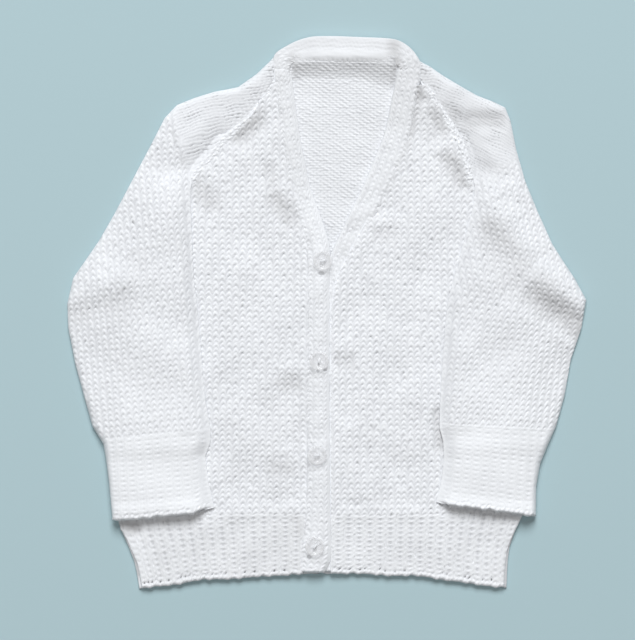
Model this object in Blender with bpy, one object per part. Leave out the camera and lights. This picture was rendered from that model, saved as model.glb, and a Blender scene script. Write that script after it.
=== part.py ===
"""A hand-knitted raglan baby cardigan with a V neck, laid flat with its sleeves folded down.

Frame: metres, +Z up. The cardigan lies on the XY plane with its neck towards +Y and the
wearer's right side towards -X. The origin is the middle of its outline, on the surface.
Sizes below are in millimetres and become metres when a mesh is made.

Every knitted piece is a wall: rows of points run across it, the outer points carry the
ribs, and the inner points stay plain. From below, the layers are the back, the two fronts,
the button band, the buttonhole band, and the sleeves over the sides of the fronts.
"""
import bmesh
import bpy
import numpy as np

# ---------------------------------------------------------------- driving dimensions, mm
MM = 0.001
CLOTH = 1.6              # thickness of the knitted cloth
GAP = 0.3                # between pieces at seams and between layers
BAND_CLOTH = 1.8         # the bands' rib is a little thicker
RIB_DEPTH = 0.6          # how far a rib's groove lies below its crest
WELT_RIB = 5.8           # from rib to rib in the hem welts
CUFF_RIBS = 11           # ribs across the top of a cuff
BAND_RIBS = 4            # ribs along a front band
BAND_ROW = 16.0          # spacing of the rows of points up a band
EDGE = 1.2               # width of the rounding along a cut or cast-on edge
EDGE_DROP = 0.5          # how far that rounding comes down
PANEL_STEPS = 9          # steps across a panel's upper face, above its welt
# Steps of a sleeve's section along its tuck, round each fold, over its top and below.
OUTER_STEPS = (3, 4, CUFF_RIBS, 4)
INNER_STEPS = (2, 2, 6, 2)
PLAIN_STEPS = 5          # steps across a plain face
CUFF_RIB_STEPS = 4       # steps across each rib of a cuff
PANEL_ROW = 11.0         # spacing of the rows of points up a panel, and up its raglan
RAGLAN_ROW = 9.0

FRONT_Z = CLOTH + GAP                    # underside of the fronts
FRONT_TOP = FRONT_Z + CLOTH
SLEEVE_Z = FRONT_TOP + GAP               # underside of a sleeve where it lies on a front
FOLD_SLIT = 0.6                          # slit left between a sleeve's two layers at a fold
SLEEVE_AIR = 1.7                         # how much further apart they are in its middle
SEAM_SHIFT = 0.25                        # each side of a raglan seam, measured along X
SEAM_CLEAR = 1.4                         # from the body's edge to the underarm seam
OPEN_EDGE_SHARE = 0.14                   # share of a sleeve's width up to where, with no
OPEN_EDGE_LEAST = 2.5                    # fold, its edge runs, and the least it has there
BACK_SHOWS = 2.0                         # how much of the back shows beside a front's welt

# Pairs of limits that a smooth change runs between.
SIDE_DROP = (0.8, 9.0)           # distance outside the body where a sleeve's under layer drops
SIDE_SPAN = (-6.0, 20.0)         # the same for its upper layer
UPPER_SPAN = (0.15, 0.95)        # share of the width where it drops, above the underarm
FOLD_PRESS = 6.0                 # distance from the inner fold where the fold is flattest
BANDS_PART = (30.0, 62.0)        # heights between which the two bands come apart
STEP_UP_SHARE = 0.27             # share of the upper band's width that steps up
NECK_RISE_SHARE = 0.75           # share of the neckband's width where it reaches the back's top
NECK_ARCH = 0.8                  # how far the middle of the neckband arches up

WELT_TOP_Y = -107.0
HEM_Y = -138.5
NECK_Y = 134.5
UNDERARM_Y = 27.0
SHORTEST_ROW = 2.0       # width of a front's last row, at the top of its raglan
WELT_ROWS_Y = (-131.5, -124.0, -115.0)   # rows of points inside the welt
WELT_STEP = 1.2          # from the welt's top to the nearest row on each side
FRONT_RIGHT_TOP = 122.0
FRONT_LEFT_TOP = 121.0

BUTTON_R = 5.25
BUTTON_H = 2.6
BUTTON_WALL = 0.9        # thickness of the button's floor, inside the rim
HOLE_R = 0.65
HOLE_OFFSET = 1.35
BUTTON_SIDES = 20

# ---------------------------------------------------------------- tables, mm
# Lower edge of the welts, from side to side.
# Columns: x, y.
HEM = (
    (-112, -146.8), (-97, -146.5), (-84, -144.2), (-70, -142.2), (-46, -140.6),
    (-20, -139.0), (0, -138.0), (24, -138.8), (50, -139.8), (66, -142.0),
    (80, -144.4), (96, -145.6), (112, -145.8),
)

# Side seam and raglan line, from the hem to the neck.
# Columns: y, right x, left x.
SIDES = (
    (-146, -99.5, 95.2),
    (-133, -101.6, 95.8),
    (-125.6, -104.6, 96.4),
    (-120.3, -106.4, 98.0),
    (-115, -109.4, 100.2),
    (-107, -111.5, 103.8),
    (-60, -110.0, 104.5),
    (27, -108.7, 103.5),
    (71.6, -72.1, 76.8),
    (83.7, -61.5, 73.8),
    (91.2, -55.7, 70.8),
    (104.9, -39.8, 62.8),
    (124.6, -28.1, 50.8),
    (134.5, -22.3, 45.0),
)

# The front bands: edge beside the front (seam) and free edge, from the hem to the neck.
# Columns: y, seam x, free x.
BUTTONHOLE_BAND = (
    (-137.4, -14.2, -1.5),
    (-136.0, -14.3, 0.8),
    (-131.5, -14.6, 2.2),
    (-124.0, -13.2, 2.4),
    (-108.0, -11.0, 1.8),
    (-60.0, -10.2, 1.2),
    (20.0, -10.0, 1.2),
    (33.4, -10.6, 2.0),
    (46.6, -13.2, -2.2),
    (63.1, -18.0, -8.4),
    (92.2, -23.9, -14.3),
    (129.7, -28.28, -19.3),
)
BUTTON_BAND = (
    (-136.6, 3.4, -5.6),
    (-108.0, 3.6, -5.8),
    (-60.0, 3.6, -5.8),
    (4.0, 3.8, -5.6),
    (20.0, 7.2, -3.0),
    (34.5, 14.6, 4.6),
    (63.1, 30.2, 18.6),
    (92.2, 43.4, 30.4),
    (129.7, 50.7, 37.9),
)

# The back neckband: outer (neck side away from the body) and inner edge, right to left.
# Columns: outer x, outer y, inner x, inner y, lift.
NECKBAND = (
    (-28.6, 130.0, -19.4, 130.0, 1.0),
    (-28.0, 136.6, -18.6, 132.4, 0.9),
    (-23.2, 140.6, -16.4, 133.8, 0.7),
    (-16.2, 144.4, -12.4, 134.6, 0.45),
    (-8.0, 146.7, -7.0, 134.8, 0.2),
    (4.0, 146.8, 4.0, 134.5, 0.1),
    (18.0, 146.6, 18.0, 134.3, 0.1),
    (30.0, 146.4, 28.6, 134.1, 0.25),
    (37.6, 144.9, 33.0, 133.4, 0.5),
    (44.0, 140.2, 36.0, 132.4, 0.75),
    (48.2, 135.0, 37.6, 131.2, 0.9),
    (50.8, 130.0, 38.0, 130.0, 1.0),
)

# A sleeve's rows, from the neck to the cuff's lower edge. Each runs from its inner point to
# its outer fold. Down to LAP_ROW the inner point is on the raglan line; from there on it is
# the inner fold, which lies over the front, and the seam is hidden under it.
# Columns: outer x, outer y, inner x, inner y.
SLEEVE_RIGHT = (
    (-30.5, 134.6, -28.6, 123.8),
    (-37.4, 127.4, -34.0, 114.6),
    (-47.5, 120.2, -39.8, 104.9),
    (-59.0, 117.6, -48.0, 97.8),
    (-70.0, 114.2, -55.7, 91.2),
    (-79.5, 110.4, -61.5, 83.7),
    (-86.0, 103.6, -71.0, 73.0),
    (-94.5, 87.0, -72.2, 66.0),
    (-103.5, 70.0, -72.2, 57.0),
    (-112.5, 53.0, -71.8, 46.0),
    (-121.0, 38.2, -71.4, 36.0),
    (-128.5, 27.4, -71.0, 27.0),
    (-134.6, 18.6, -70.4, 18.0),
    (-137.7, 5.0, -69.0, 5.0),
    (-137.2, -8.0, -67.8, -8.0),
    (-133.6, -26.5, -66.0, -27.0),
    (-128.6, -45.0, -64.4, -46.0),
    (-124.4, -60.0, -61.6, -62.0),
    (-118.6, -69.6, -62.0, -69.0),
    (-117.2, -77.0, -64.4, -75.6),
    (-115.4, -90.0, -63.0, -88.5),
    (-113.6, -108.4, -59.8, -102.8),
)
SLEEVE_LEFT = (
    (52.6, 132.2, 50.6, 124.4),
    (61.5, 126.0, 56.4, 114.6),
    (70.5, 120.6, 62.8, 104.9),
    (79.6, 115.4, 67.4, 97.8),
    (88.0, 112.2, 70.8, 91.2),
    (94.6, 109.0, 73.8, 83.7),
    (97.4, 102.0, 76.6, 75.0),
    (100.4, 87.0, 78.4, 67.0),
    (105.2, 70.0, 77.6, 57.0),
    (112.0, 53.4, 74.8, 46.0),
    (119.6, 36.6, 71.6, 35.0),
    (125.4, 27.4, 69.4, 27.0),
    (131.4, 18.4, 67.0, 18.0),
    (137.6, 7.0, 63.8, 6.0),
    (135.0, -8.0, 62.4, -8.0),
    (129.4, -24.6, 61.2, -26.0),
    (126.0, -44.0, 60.0, -45.0),
    (121.6, -60.0, 59.6, -60.6),
    (117.0, -70.6, 61.6, -68.0),
    (113.2, -80.0, 62.0, -77.0),
    (111.0, -92.0, 60.6, -89.0),
    (110.8, -107.6, 58.0, -99.6),
)
# Lower edges of the cuffs. A cuff's rows bend down to this line.
# Columns: x, y.
CUFF_END_RIGHT = (
    (-113.6, -109.9), (-101.0, -109.5), (-85.0, -107.6), (-71.4, -106.5), (-59.8, -102.8),
)
CUFF_END_LEFT = (
    (58.0, -99.8), (66.0, -102.0), (82.0, -103.9), (98.0, -106.1), (110.8, -108.1),
)
LAP_ROW = 6              # the first row that lies over the front
CLOSED_ROW = 12          # the first row of the closed tube, below the underarm
CUFF_TOP_ROW = 17        # the last row of stocking stitch before the cuff

# Soft puffs of the fronts: a ridge from one end to the other, half width and height.
# Columns: x0, y0, x1, y1, half width, height.
PUFFS = (
    (-44, 80, -32, 50, 9, 1.0),
    (-50, 20, -34, -30, 13, 1.1),
    (-30, -78, -44, -60, 9, 0.8),
    (-52, -102, -20, -101, 5, 0.9),
    (58, 72, 52, 44, 9, 0.9),
    (30, 30, 36, -14, 12, 1.0),
    (14, -66, 18, -96, 7, 1.0),
    (26, -101, 52, -101, 5, 0.9),
    (48, -40, 44, -66, 9, 0.9),
)

# Soft creases of the sleeves' upper layer: a trough from one end to the other.
# Columns: x0, y0, x1, y1, half width, depth.
CREASES = (
    (-140, 8, -92, 36, 9, 1.3),
    (-128, 62, -84, 70, 8, 0.9),
    (-112, -20, -84, -34, 9, 0.8),
    (-104, -58, -76, -52, 7, 0.8),
    (134, 5, 109, 11, 8, 1.5),
    (109, 11, 88, 32, 8, 1.5),
    (88, 32, 77, 44, 7, 1.3),
    (128, -28, 92, -18, 9, 0.8),
    (90, 90, 84, 102, 6, 1.0),
    (108, -56, 76, -50, 7, 0.8),
)

# Columns: x, y, turn in degrees.
BUTTONS = (
    (-2.1, 27.6, 24),
    (-4.2, -25.4, 80),
    (-5.3, -75.3, 12),
    (-6.4, -123.5, 55),
)

# Colour (linear RGB), roughness.
WOOL = ((0.84, 0.85, 0.86), 0.92)
WOOL_RIB = ((0.82, 0.83, 0.84), 0.92)
PEARL = ((0.88, 0.89, 0.88), 0.22)


# ---------------------------------------------------------------- helpers
def clear_scene():
    for old in list(bpy.data.objects):
        bpy.data.objects.remove(old, do_unlink=True)


def smoothstep(low, high, value):
    t = np.clip((value - low) / (high - low), 0.0, 1.0)
    return t * t * (3.0 - 2.0 * t)


def column(table, index):
    """One column of a table, as an array."""
    return np.array([row[index] for row in table], dtype=float)


def table_at(table, y, index):
    """A table's column read at height y. The table's first column is y, rising."""
    return np.interp(y, column(table, 0), column(table, index))


def material(name, look):
    colour, roughness = look
    made = bpy.data.materials.new(name)
    made.use_nodes = True
    shader = made.node_tree.nodes["Principled BSDF"]
    shader.inputs["Base Color"].default_value = (*colour, 1.0)
    shader.inputs["Roughness"].default_value = roughness
    shader.inputs["Metallic"].default_value = 0.0
    return made


def add_object(name, mesh, look):
    mesh.materials.append(material(name, look))
    made = bpy.data.objects.new(name, mesh)
    bpy.context.scene.collection.objects.link(made)
    return made


# ---------------------------------------------------------------- walls from rows of points
class Wall:
    """A closed wall between rows of outer points and rows of inner points.

    A row is a pair: its parameters, rising from 0 to 1, and one point for each. Rows may
    hold different numbers of points, because two rows are joined in order of parameter.
    """

    def __init__(self):
        self.points = []
        self.faces = []

    def add_row(self, row):
        params, points = row
        first = len(self.points)
        self.points.extend(np.asarray(points, dtype=float))
        return [(t, first + i) for i, t in enumerate(params)]

    def zip_rows(self, low, high, flip):
        """Triangles between two rows, each step taken on the row that is behind."""
        i = j = 0
        while i < len(low) - 1 or j < len(high) - 1:
            low_next = low[i + 1][0] if i < len(low) - 1 else np.inf
            high_next = high[j + 1][0] if j < len(high) - 1 else np.inf
            if low_next <= high_next:
                face = (low[i][1], low[i + 1][1], high[j][1])
                i += 1
            else:
                face = (low[i][1], high[j + 1][1], high[j][1])
                j += 1
            self.faces.append(face[::-1] if flip else face)

    def build(self, name, outer_rows, inner_rows, look, flip=False):
        """Join outer and inner rows into one closed body. flip turns all faces round."""
        outer = [self.add_row(row) for row in outer_rows]
        inner = [self.add_row(row) for row in inner_rows]
        for low, high in zip(outer[:-1], outer[1:]):
            self.zip_rows(low, high, flip)
        for low, high in zip(inner[:-1], inner[1:]):
            self.zip_rows(low, high, not flip)
        self.zip_rows(inner[0], outer[0], flip)
        self.zip_rows(outer[-1], inner[-1], flip)
        outer_start = [(k, row[0][1]) for k, row in enumerate(outer)]
        inner_start = [(k, row[0][1]) for k, row in enumerate(inner)]
        outer_end = [(k, row[-1][1]) for k, row in enumerate(outer)]
        inner_end = [(k, row[-1][1]) for k, row in enumerate(inner)]
        self.zip_rows(inner_start, outer_start, not flip)
        self.zip_rows(inner_end, outer_end, flip)
        mesh = bpy.data.meshes.new(name)
        points = np.asarray(self.points) * MM
        mesh.from_pydata(points.tolist(), [], self.faces)
        mesh.validate()
        return add_object(name, mesh, look)


def rib_wave(phase):
    """Height of a rib, from 0 in the groove to 1 on the crest, as a rounded wave."""
    return 0.5 - 0.5 * np.cos(2.0 * np.pi * phase)


def rib_params(ribs):
    """Parameters across a ribbed row: four to a rib, so that crest and groove have width."""
    return np.linspace(0.0, 1.0, 4 * ribs + 1)


# ---------------------------------------------------------------- the body's shapes
def side_x(y, side):
    """X of the side seam or raglan line on the wearer's right or left."""
    return table_at(SIDES, y, 1 if side == "right" else 2)


def ridges(table, x, y):
    """Height at a point from a table of ridge lines. Each fades with distance from its line."""
    height = np.zeros(np.broadcast(x, y).shape)
    for x0, y0, x1, y1, half_width, top in table:
        along = ((x - x0) * (x1 - x0) + (y - y0) * (y1 - y0)) / ((x1 - x0) ** 2 + (y1 - y0) ** 2)
        along = np.clip(along, 0.0, 1.0)
        away = np.hypot(x - x0 - along * (x1 - x0), y - y0 - along * (y1 - y0))
        height = np.maximum(height, top * smoothstep(1.0, 0.0, away / (2.0 * half_width)))
    return height


def hem_shift(x, y):
    """How far a row is moved in Y to follow the hem's curve, fading out up the welt."""
    hem = np.interp(x, column(HEM, 0), column(HEM, 1))
    return (hem - HEM_Y) * smoothstep(WELT_TOP_Y, HEM_Y, y)


def panel_rows(heights, left_edge, right_edge, z_top, z_low, ribs, edge_low, edge_high):
    """Outer and inner rows of a flat panel, one pair for each height in Y.

    left_edge and right_edge give X at a height. z_top and z_low give the wall's two
    faces at a point. ribs is the number of ribs in the welt, or 0. edge_low and edge_high
    say whether the panel's left and right edges are rounded.
    """
    outer_rows, inner_rows = [], []
    for y in heights:
        in_welt = y < WELT_TOP_Y and ribs
        x_left, x_right = float(left_edge(y)), float(right_edge(y))
        width = x_right - x_left
        for rows, is_top in ((outer_rows, True), (inner_rows, False)):
            params = np.linspace(0.0, 1.0, (PANEL_STEPS if is_top else PLAIN_STEPS) + 1)
            if in_welt and is_top:
                params = rib_params(ribs)
            rim = min(EDGE / width, 0.45 * params[1])
            params = np.concatenate(([0.0, rim], params[1:-1], [1.0 - rim, 1.0]))
            x = x_left + params * width
            row_y = y + hem_shift(x, y)
            if not is_top:
                z = z_low(x, row_y)
            else:
                z = z_top(x, row_y)
                if in_welt:
                    z = z - RIB_DEPTH * (1.0 - rib_wave(params * ribs))
                drop = EDGE_DROP * (y == heights[0] or y == heights[-1])
                z = z - drop
                z[0] -= EDGE_DROP * edge_low
                z[-1] -= EDGE_DROP * edge_high
            rows.append((params, np.column_stack((x, row_y, z))))
    return outer_rows, inner_rows


def body_heights(top):
    """Rows of a panel in Y: close together at the hem and at its top, wider between."""
    welt = [HEM_Y, HEM_Y + EDGE, *WELT_ROWS_Y, WELT_TOP_Y - WELT_STEP]
    plain = np.arange(WELT_TOP_Y + WELT_STEP, UNDERARM_Y - 0.5 * PANEL_ROW, PANEL_ROW)
    edge_row = top - EDGE
    corners = [y for y, *_ in SIDES if UNDERARM_Y < y < edge_row - EDGE]
    knots = [UNDERARM_Y, *corners, edge_row]
    raglan = []
    for low, high in zip(knots[:-1], knots[1:]):
        steps = int(np.ceil((high - low) / RAGLAN_ROW))
        raglan.extend(np.linspace(low, high, steps + 1)[1:])
    return [*welt, *plain, UNDERARM_Y, *raglan, top]


def make_back():
    def left_edge(y):
        return side_x(y, "right") + SEAM_SHIFT

    def right_edge(y):
        return side_x(y, "left") - SEAM_SHIFT

    def z_top(x, y):
        return np.full(np.shape(x), CLOTH)

    def z_low(x, y):
        return np.zeros(np.shape(x))

    rows = panel_rows(body_heights(NECK_Y), left_edge, right_edge, z_top, z_low, 0, 0, 0)
    return Wall().build("back", *rows, WOOL)


def make_front(name, side, top):
    """A front, from its side seam and raglan to its V slope and centre edge."""
    def inset(y):
        return SEAM_SHIFT + BACK_SHOWS * smoothstep(WELT_TOP_Y, HEM_Y, y)

    if side == "right":
        def left_edge(y):
            return side_x(y, side) + inset(y)

        def right_edge(y):
            centre = table_at(BUTTONHOLE_BAND, y, 1)
            return np.maximum(centre - GAP, left_edge(y) + SHORTEST_ROW)
    else:
        def right_edge(y):
            return side_x(y, side) - inset(y)

        def left_edge(y):
            centre = table_at(BUTTON_BAND, y, 1)
            return np.minimum(centre + GAP, right_edge(y) - SHORTEST_ROW)

    def z_top(x, y):
        return FRONT_TOP + ridges(PUFFS, x, y)

    def z_low(x, y):
        return FRONT_Z + ridges(PUFFS, x, y)

    welt_width = float(right_edge(HEM_Y) - left_edge(HEM_Y))
    ribs = int(round(welt_width / WELT_RIB))
    outer = 1 if side == "right" else 0
    rows = panel_rows(body_heights(top), left_edge, right_edge, z_top, z_low,
                      ribs, outer, 1 - outer)
    return Wall().build(name, *rows, WOOL)


# ---------------------------------------------------------------- sleeves
def beyond_side(x, y, side):
    """Distance outside the body's side seam, negative over the body."""
    edge = side_x(np.minimum(y, UNDERARM_Y), side)
    return edge - x if side == "right" else x - edge


def seam_distance(place, width, side, index):
    """Distance from a row's inner point to the hidden seam, just outside the body's edge."""
    if index <= LAP_ROW:
        return 0.0
    clear = SEAM_CLEAR if index >= CLOSED_ROW - 1 else 2.0 * SEAM_SHIFT
    t = np.linspace(0.0, width, 400)
    x, y = place(t)
    edge = side_x(y, side)
    away = edge - x if side == "right" else x - edge
    return float(t[np.argmax(away > clear)])


def sleeve_section(row, index, side, is_outer, ribbed):
    """One row of a sleeve: distance from the inner point and height of its middle surface.

    The line starts at the front half's edge, runs under the inner fold where there is a
    tuck, back over the top, round the outer fold and in again along the surface below.
    Returned are parameters, distances and heights, and which points are on the top.
    """
    outer_x, outer_y, inner_x, inner_y = row
    over, closed = index >= LAP_ROW, index >= CLOSED_ROW
    if not over:
        inner_x = float(side_x(inner_y, side))
    width = float(np.hypot(outer_x - inner_x, outer_y - inner_y))
    radius = 0.5 * (CLOTH + FOLD_SLIT)
    half = 0.5 * CLOTH

    def place(t):
        x = inner_x + (outer_x - inner_x) * t / width
        y = inner_y + (outer_y - inner_y) * t / width
        return x, y

    tuck = seam_distance(place, width, side, index)
    inner_t = half + radius
    outer_t = width - half - radius
    folded = tuck > inner_t + radius
    start_t = max(tuck, SEAM_SHIFT)

    def under_mid(t):
        """Middle of the lower layer: over the front, or down on the surface outside it."""
        away = beyond_side(*place(t), side)
        if closed:
            return half + SLEEVE_Z * (1.0 - smoothstep(*SIDE_DROP, away))
        on_front = np.where(t <= tuck + 0.01, 1.0, 0.0) * over
        return half + SLEEVE_Z * on_front

    def top_mid(t):
        """Middle of the upper layer: it spans the step at the body's edge in one slope."""
        away = beyond_side(*place(t), side)
        middle_share = np.sin(np.pi * np.clip(t / width, 0.0, 1.0)) ** 0.8
        air = (SLEEVE_AIR - ridges(CREASES, *place(t))) * middle_share
        if over:
            reach = 1.0 - smoothstep(*SIDE_SPAN, away)
            reach = np.maximum(reach, 1.0 - smoothstep(*SIDE_DROP, away))
            if not closed:
                reach = 1.0 - smoothstep(*UPPER_SPAN, t / width)
            base = SLEEVE_Z * reach
            if not folded:
                base = base - radius * smoothstep(FOLD_PRESS, 0.0, t)
            return half + base + 2.0 * radius + air
        return half + CLOTH + GAP + air

    n_tuck, n_fold, n_top, n_under = OUTER_STEPS if is_outer else INNER_STEPS
    turn = np.linspace(0.0, np.pi, n_fold + 1)
    if folded:
        tuck_t = np.linspace(tuck, inner_t, n_tuck + 1)[:-1]
        low, high = under_mid(np.array(inner_t * 0.5)), top_mid(np.array(inner_t))
        middle, rise = 0.5 * (low + high), 0.5 * (high - low)
        head_t = np.concatenate((tuck_t, inner_t - radius * np.sin(turn)))
        head_z = np.concatenate((under_mid(tuck_t), middle - rise * np.cos(turn)))
        top_start = inner_t
    else:
        top_start = max(OPEN_EDGE_SHARE * width, start_t + OPEN_EDGE_LEAST)
        head_t = np.linspace(start_t, top_start, n_tuck + n_fold + 1)
        head_z = top_mid(head_t)
    top_count = CUFF_RIB_STEPS * n_top if ribbed else n_top
    top_t = np.linspace(top_start, outer_t, top_count + 1)[1:]
    top_z = top_mid(top_t)
    high, low = top_mid(np.array(outer_t)), under_mid(np.array(outer_t))
    middle, rise = 0.5 * (low + high), 0.5 * (high - low)
    fold_t = outer_t + radius * np.sin(turn[1:])
    fold_z = middle + rise * np.cos(turn[1:])
    under_t = np.linspace(outer_t, start_t + GAP * folded, n_under + 1)[1:]
    t = np.concatenate((head_t, top_t, fold_t, under_t))
    z = np.concatenate((head_z, top_z, fold_z, under_mid(under_t)))
    steps = n_tuck + 2 * n_fold + n_top + n_under
    head_end, top_end = n_tuck + n_fold, n_tuck + n_fold + n_top
    params = np.concatenate((
        np.linspace(0.0, head_end, head_end + 1),
        np.linspace(head_end, top_end, top_count + 1)[1:],
        np.linspace(top_end, steps, steps - top_end + 1)[1:],
    )) / steps
    x, y = place(t)
    return params, np.column_stack((x, y, z)), head_end / steps, top_end / steps


def section_normals(points, outward):
    """Normals of a section, in the upright plane that holds it."""
    along = np.gradient(points, axis=0)
    run = along @ outward
    rise = along[:, 2]
    length = np.hypot(run, rise)
    return np.column_stack((-rise * outward[0], -rise * outward[1], run)) / length[:, None]


def make_sleeve(name, side, table):
    """A sleeve: one strip of cloth folded round, with its cuff knitted in one with it."""
    cuff_end = CUFF_END_RIGHT if side == "right" else CUFF_END_LEFT
    outer_rows, inner_rows = [], []
    for index, row in enumerate(table):
        bend = smoothstep(CUFF_TOP_ROW, len(table) - 1, index)
        for rows, is_outer in ((outer_rows, True), (inner_rows, False)):
            ribbed = is_outer and index > CUFF_TOP_ROW
            params, middle, top_from, top_to = sleeve_section(row, index, side, is_outer, ribbed)
            outward = np.array([row[0] - middle[0, 0], row[1] - middle[0, 1], 0.0])
            outward /= np.linalg.norm(outward)
            normal = section_normals(middle, outward)
            last_y = row[3] + (row[1] - row[3]) * (middle[:, 0] - row[2]) / (row[0] - row[2])
            end_y = np.interp(middle[:, 0], column(cuff_end, 0), column(cuff_end, 1))
            middle[:, 1] += bend * (end_y - last_y)
            reach = np.full(len(params), 0.5 * CLOTH if is_outer else -0.5 * CLOTH)
            if ribbed:
                across = np.clip((params - top_from) / (top_to - top_from), 0.0, 1.0)
                reach -= RIB_DEPTH * (1.0 - rib_wave(across * CUFF_RIBS - 0.5))
            rows.append((params, middle + normal * reach[:, None]))
    flip = side == "left"
    return Wall().build(name, outer_rows, inner_rows, WOOL, flip)


# ---------------------------------------------------------------- bands
def strip_rows(edges, z_of, ribs):
    """Rows across a ribbed strip. edges holds its two edge points for each row."""
    fine = rib_params(ribs)
    plain = np.linspace(0.0, 1.0, PLAIN_STEPS)
    outer_rows, inner_rows = [], []
    for index, (start, end) in enumerate(edges):
        at_end = index in (0, len(edges) - 1)
        for rows, is_top in ((outer_rows, True), (inner_rows, False)):
            params = fine if is_top else plain
            x = start[0] + (end[0] - start[0]) * params
            y = start[1] + (end[1] - start[1]) * params
            z = z_of(index, params, x, y)
            if is_top:
                z = z + BAND_CLOTH - RIB_DEPTH * (1.0 - rib_wave(params * ribs - 0.5))
                z = z - 0.5 * EDGE_DROP * at_end
            rows.append((params, np.column_stack((x, y, z))))
    return outer_rows, inner_rows


def band_edges(table, spacing):
    """Edge points up a front band, at an even spacing between the table's rows."""
    given = column(table, 0)
    heights = [given[0]]
    for low, high in zip(given[:-1], given[1:]):
        steps = max(1, int(round((high - low) / spacing)))
        heights.extend(np.linspace(low, high, steps + 1)[1:])
    edges = []
    for y in heights:
        seam, free = table_at(table, y, 1), table_at(table, y, 2)
        edges.append(((float(seam), float(y)), (float(free), float(y))))
    return edges


def make_buttonhole_band():
    """The upper band. It steps up from the front's level to lie on the button band."""
    edges = band_edges(BUTTONHOLE_BAND, BAND_ROW)
    step_up = BAND_CLOTH + GAP

    def z_of(index, params, x, y):
        overlap = 1.0 - smoothstep(*BANDS_PART, y)
        return FRONT_Z + step_up * smoothstep(0.0, STEP_UP_SHARE, params) * overlap

    rows = strip_rows(edges, z_of, BAND_RIBS)
    return Wall().build("band_buttonhole", *rows, WOOL_RIB)


def make_button_band():
    """The lower band, from the hem up under the other one and along the left V slope."""
    edges = band_edges(BUTTON_BAND, BAND_ROW)

    def z_of(index, params, x, y):
        return np.full(np.shape(params), FRONT_Z)

    rows = strip_rows(edges, z_of, BAND_RIBS)
    return Wall().build("band_button", *rows, WOOL_RIB, flip=True)


def make_neckband():
    """The back neckband. Its inner edge stands above the back, its outer edge lies low."""
    edges = [((outer_x, outer_y), (inner_x, inner_y))
             for outer_x, outer_y, inner_x, inner_y, _ in NECKBAND]

    def z_of(index, params, x, y):
        lift = NECKBAND[index][4]
        arch = NECK_ARCH * np.sin(np.pi * params)
        laid = FRONT_Z * smoothstep(0.0, NECK_RISE_SHARE, params) + GAP * params
        return (laid + arch) * (1.0 - lift) + FRONT_Z * lift

    rows = strip_rows(edges, z_of, BAND_RIBS)
    return Wall().build("neckband", *rows, WOOL_RIB)


# ---------------------------------------------------------------- buttons
def lathe(name, profile, segments):
    """A closed turned body from a profile of (radius, height), first and last on the axis."""
    mesh = bpy.data.meshes.new(name)
    shape = bmesh.new()
    for radius, height in profile[1:-1]:
        ring = [shape.verts.new((radius * MM * np.cos(a), radius * MM * np.sin(a), height * MM))
                for a in np.linspace(0.0, 2.0 * np.pi, segments, endpoint=False)]
        if radius == profile[1][0] and height == profile[1][1]:
            shape.faces.new(ring[::-1])
        else:
            for k in range(segments):
                n = (k + 1) % segments
                shape.faces.new((previous[k], previous[n], ring[n], ring[k]))
        previous = ring
    shape.faces.new(previous)
    shape.to_mesh(mesh)
    shape.free()
    return mesh


def make_button(name, x, y, turn):
    """A round button with a raised rim, a dished middle and two thread holes."""
    r, h, floor = BUTTON_R, BUTTON_H, BUTTON_WALL
    profile = (
        (0, 0), (0.55 * r, 0), (0.9 * r, 0.35 * h), (r, 0.62 * h), (0.96 * r, 0.88 * h),
        (0.86 * r, h), (0.74 * r, 0.94 * h), (0.62 * r, 0.62 * h), (0.5 * r, floor + 0.5),
        (0, 0),
    )
    z = FRONT_Z + 2.0 * (BAND_CLOTH + GAP)
    button = add_object(name, lathe(name, profile, BUTTON_SIDES), PEARL)
    for side in (-1, 1):
        bpy.ops.mesh.primitive_cylinder_add(vertices=8, radius=HOLE_R * MM, depth=4 * h * MM)
        cutter = bpy.context.object
        cutter.name = f"{name}_hole_{'a' if side < 0 else 'b'}"
        cutter.parent = button
        cutter.location = (side * HOLE_OFFSET * MM, 0, 0)
        cutter.hide_render = True
        cutter.display_type = "WIRE"
        cut = button.modifiers.new("thread hole", "BOOLEAN")
        cut.operation = "DIFFERENCE"
        cut.object = cutter
    button.location = (x * MM, y * MM, z * MM)
    button.rotation_euler = (0, 0, np.radians(turn))
    return button


def main():
    clear_scene()
    make_back()
    make_front("front_right", "right", FRONT_RIGHT_TOP)
    make_front("front_left", "left", FRONT_LEFT_TOP)
    make_sleeve("sleeve_right", "right", SLEEVE_RIGHT)
    make_sleeve("sleeve_left", "left", SLEEVE_LEFT)
    make_button_band()
    make_buttonhole_band()
    make_neckband()
    for number, (x, y, turn) in enumerate(BUTTONS, start=1):
        make_button(f"button_{number}", x, y, turn)


main()
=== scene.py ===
"""A hand-knitted baby cardigan, laid flat: the knitting, buttons, floor, light and camera.

Every knitted piece is a closed shell. Its upper face is a lattice of points, some seven to a
stitch across and six to a row, whose height follows the yarn. Each point also carries a stitch
depth and a soft shade value, which darken its colour: painted shade in pits, holes and creases.
Sizes in the tables and in the shape functions are in millimetres, and become metres when a
mesh is made.
"""

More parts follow.
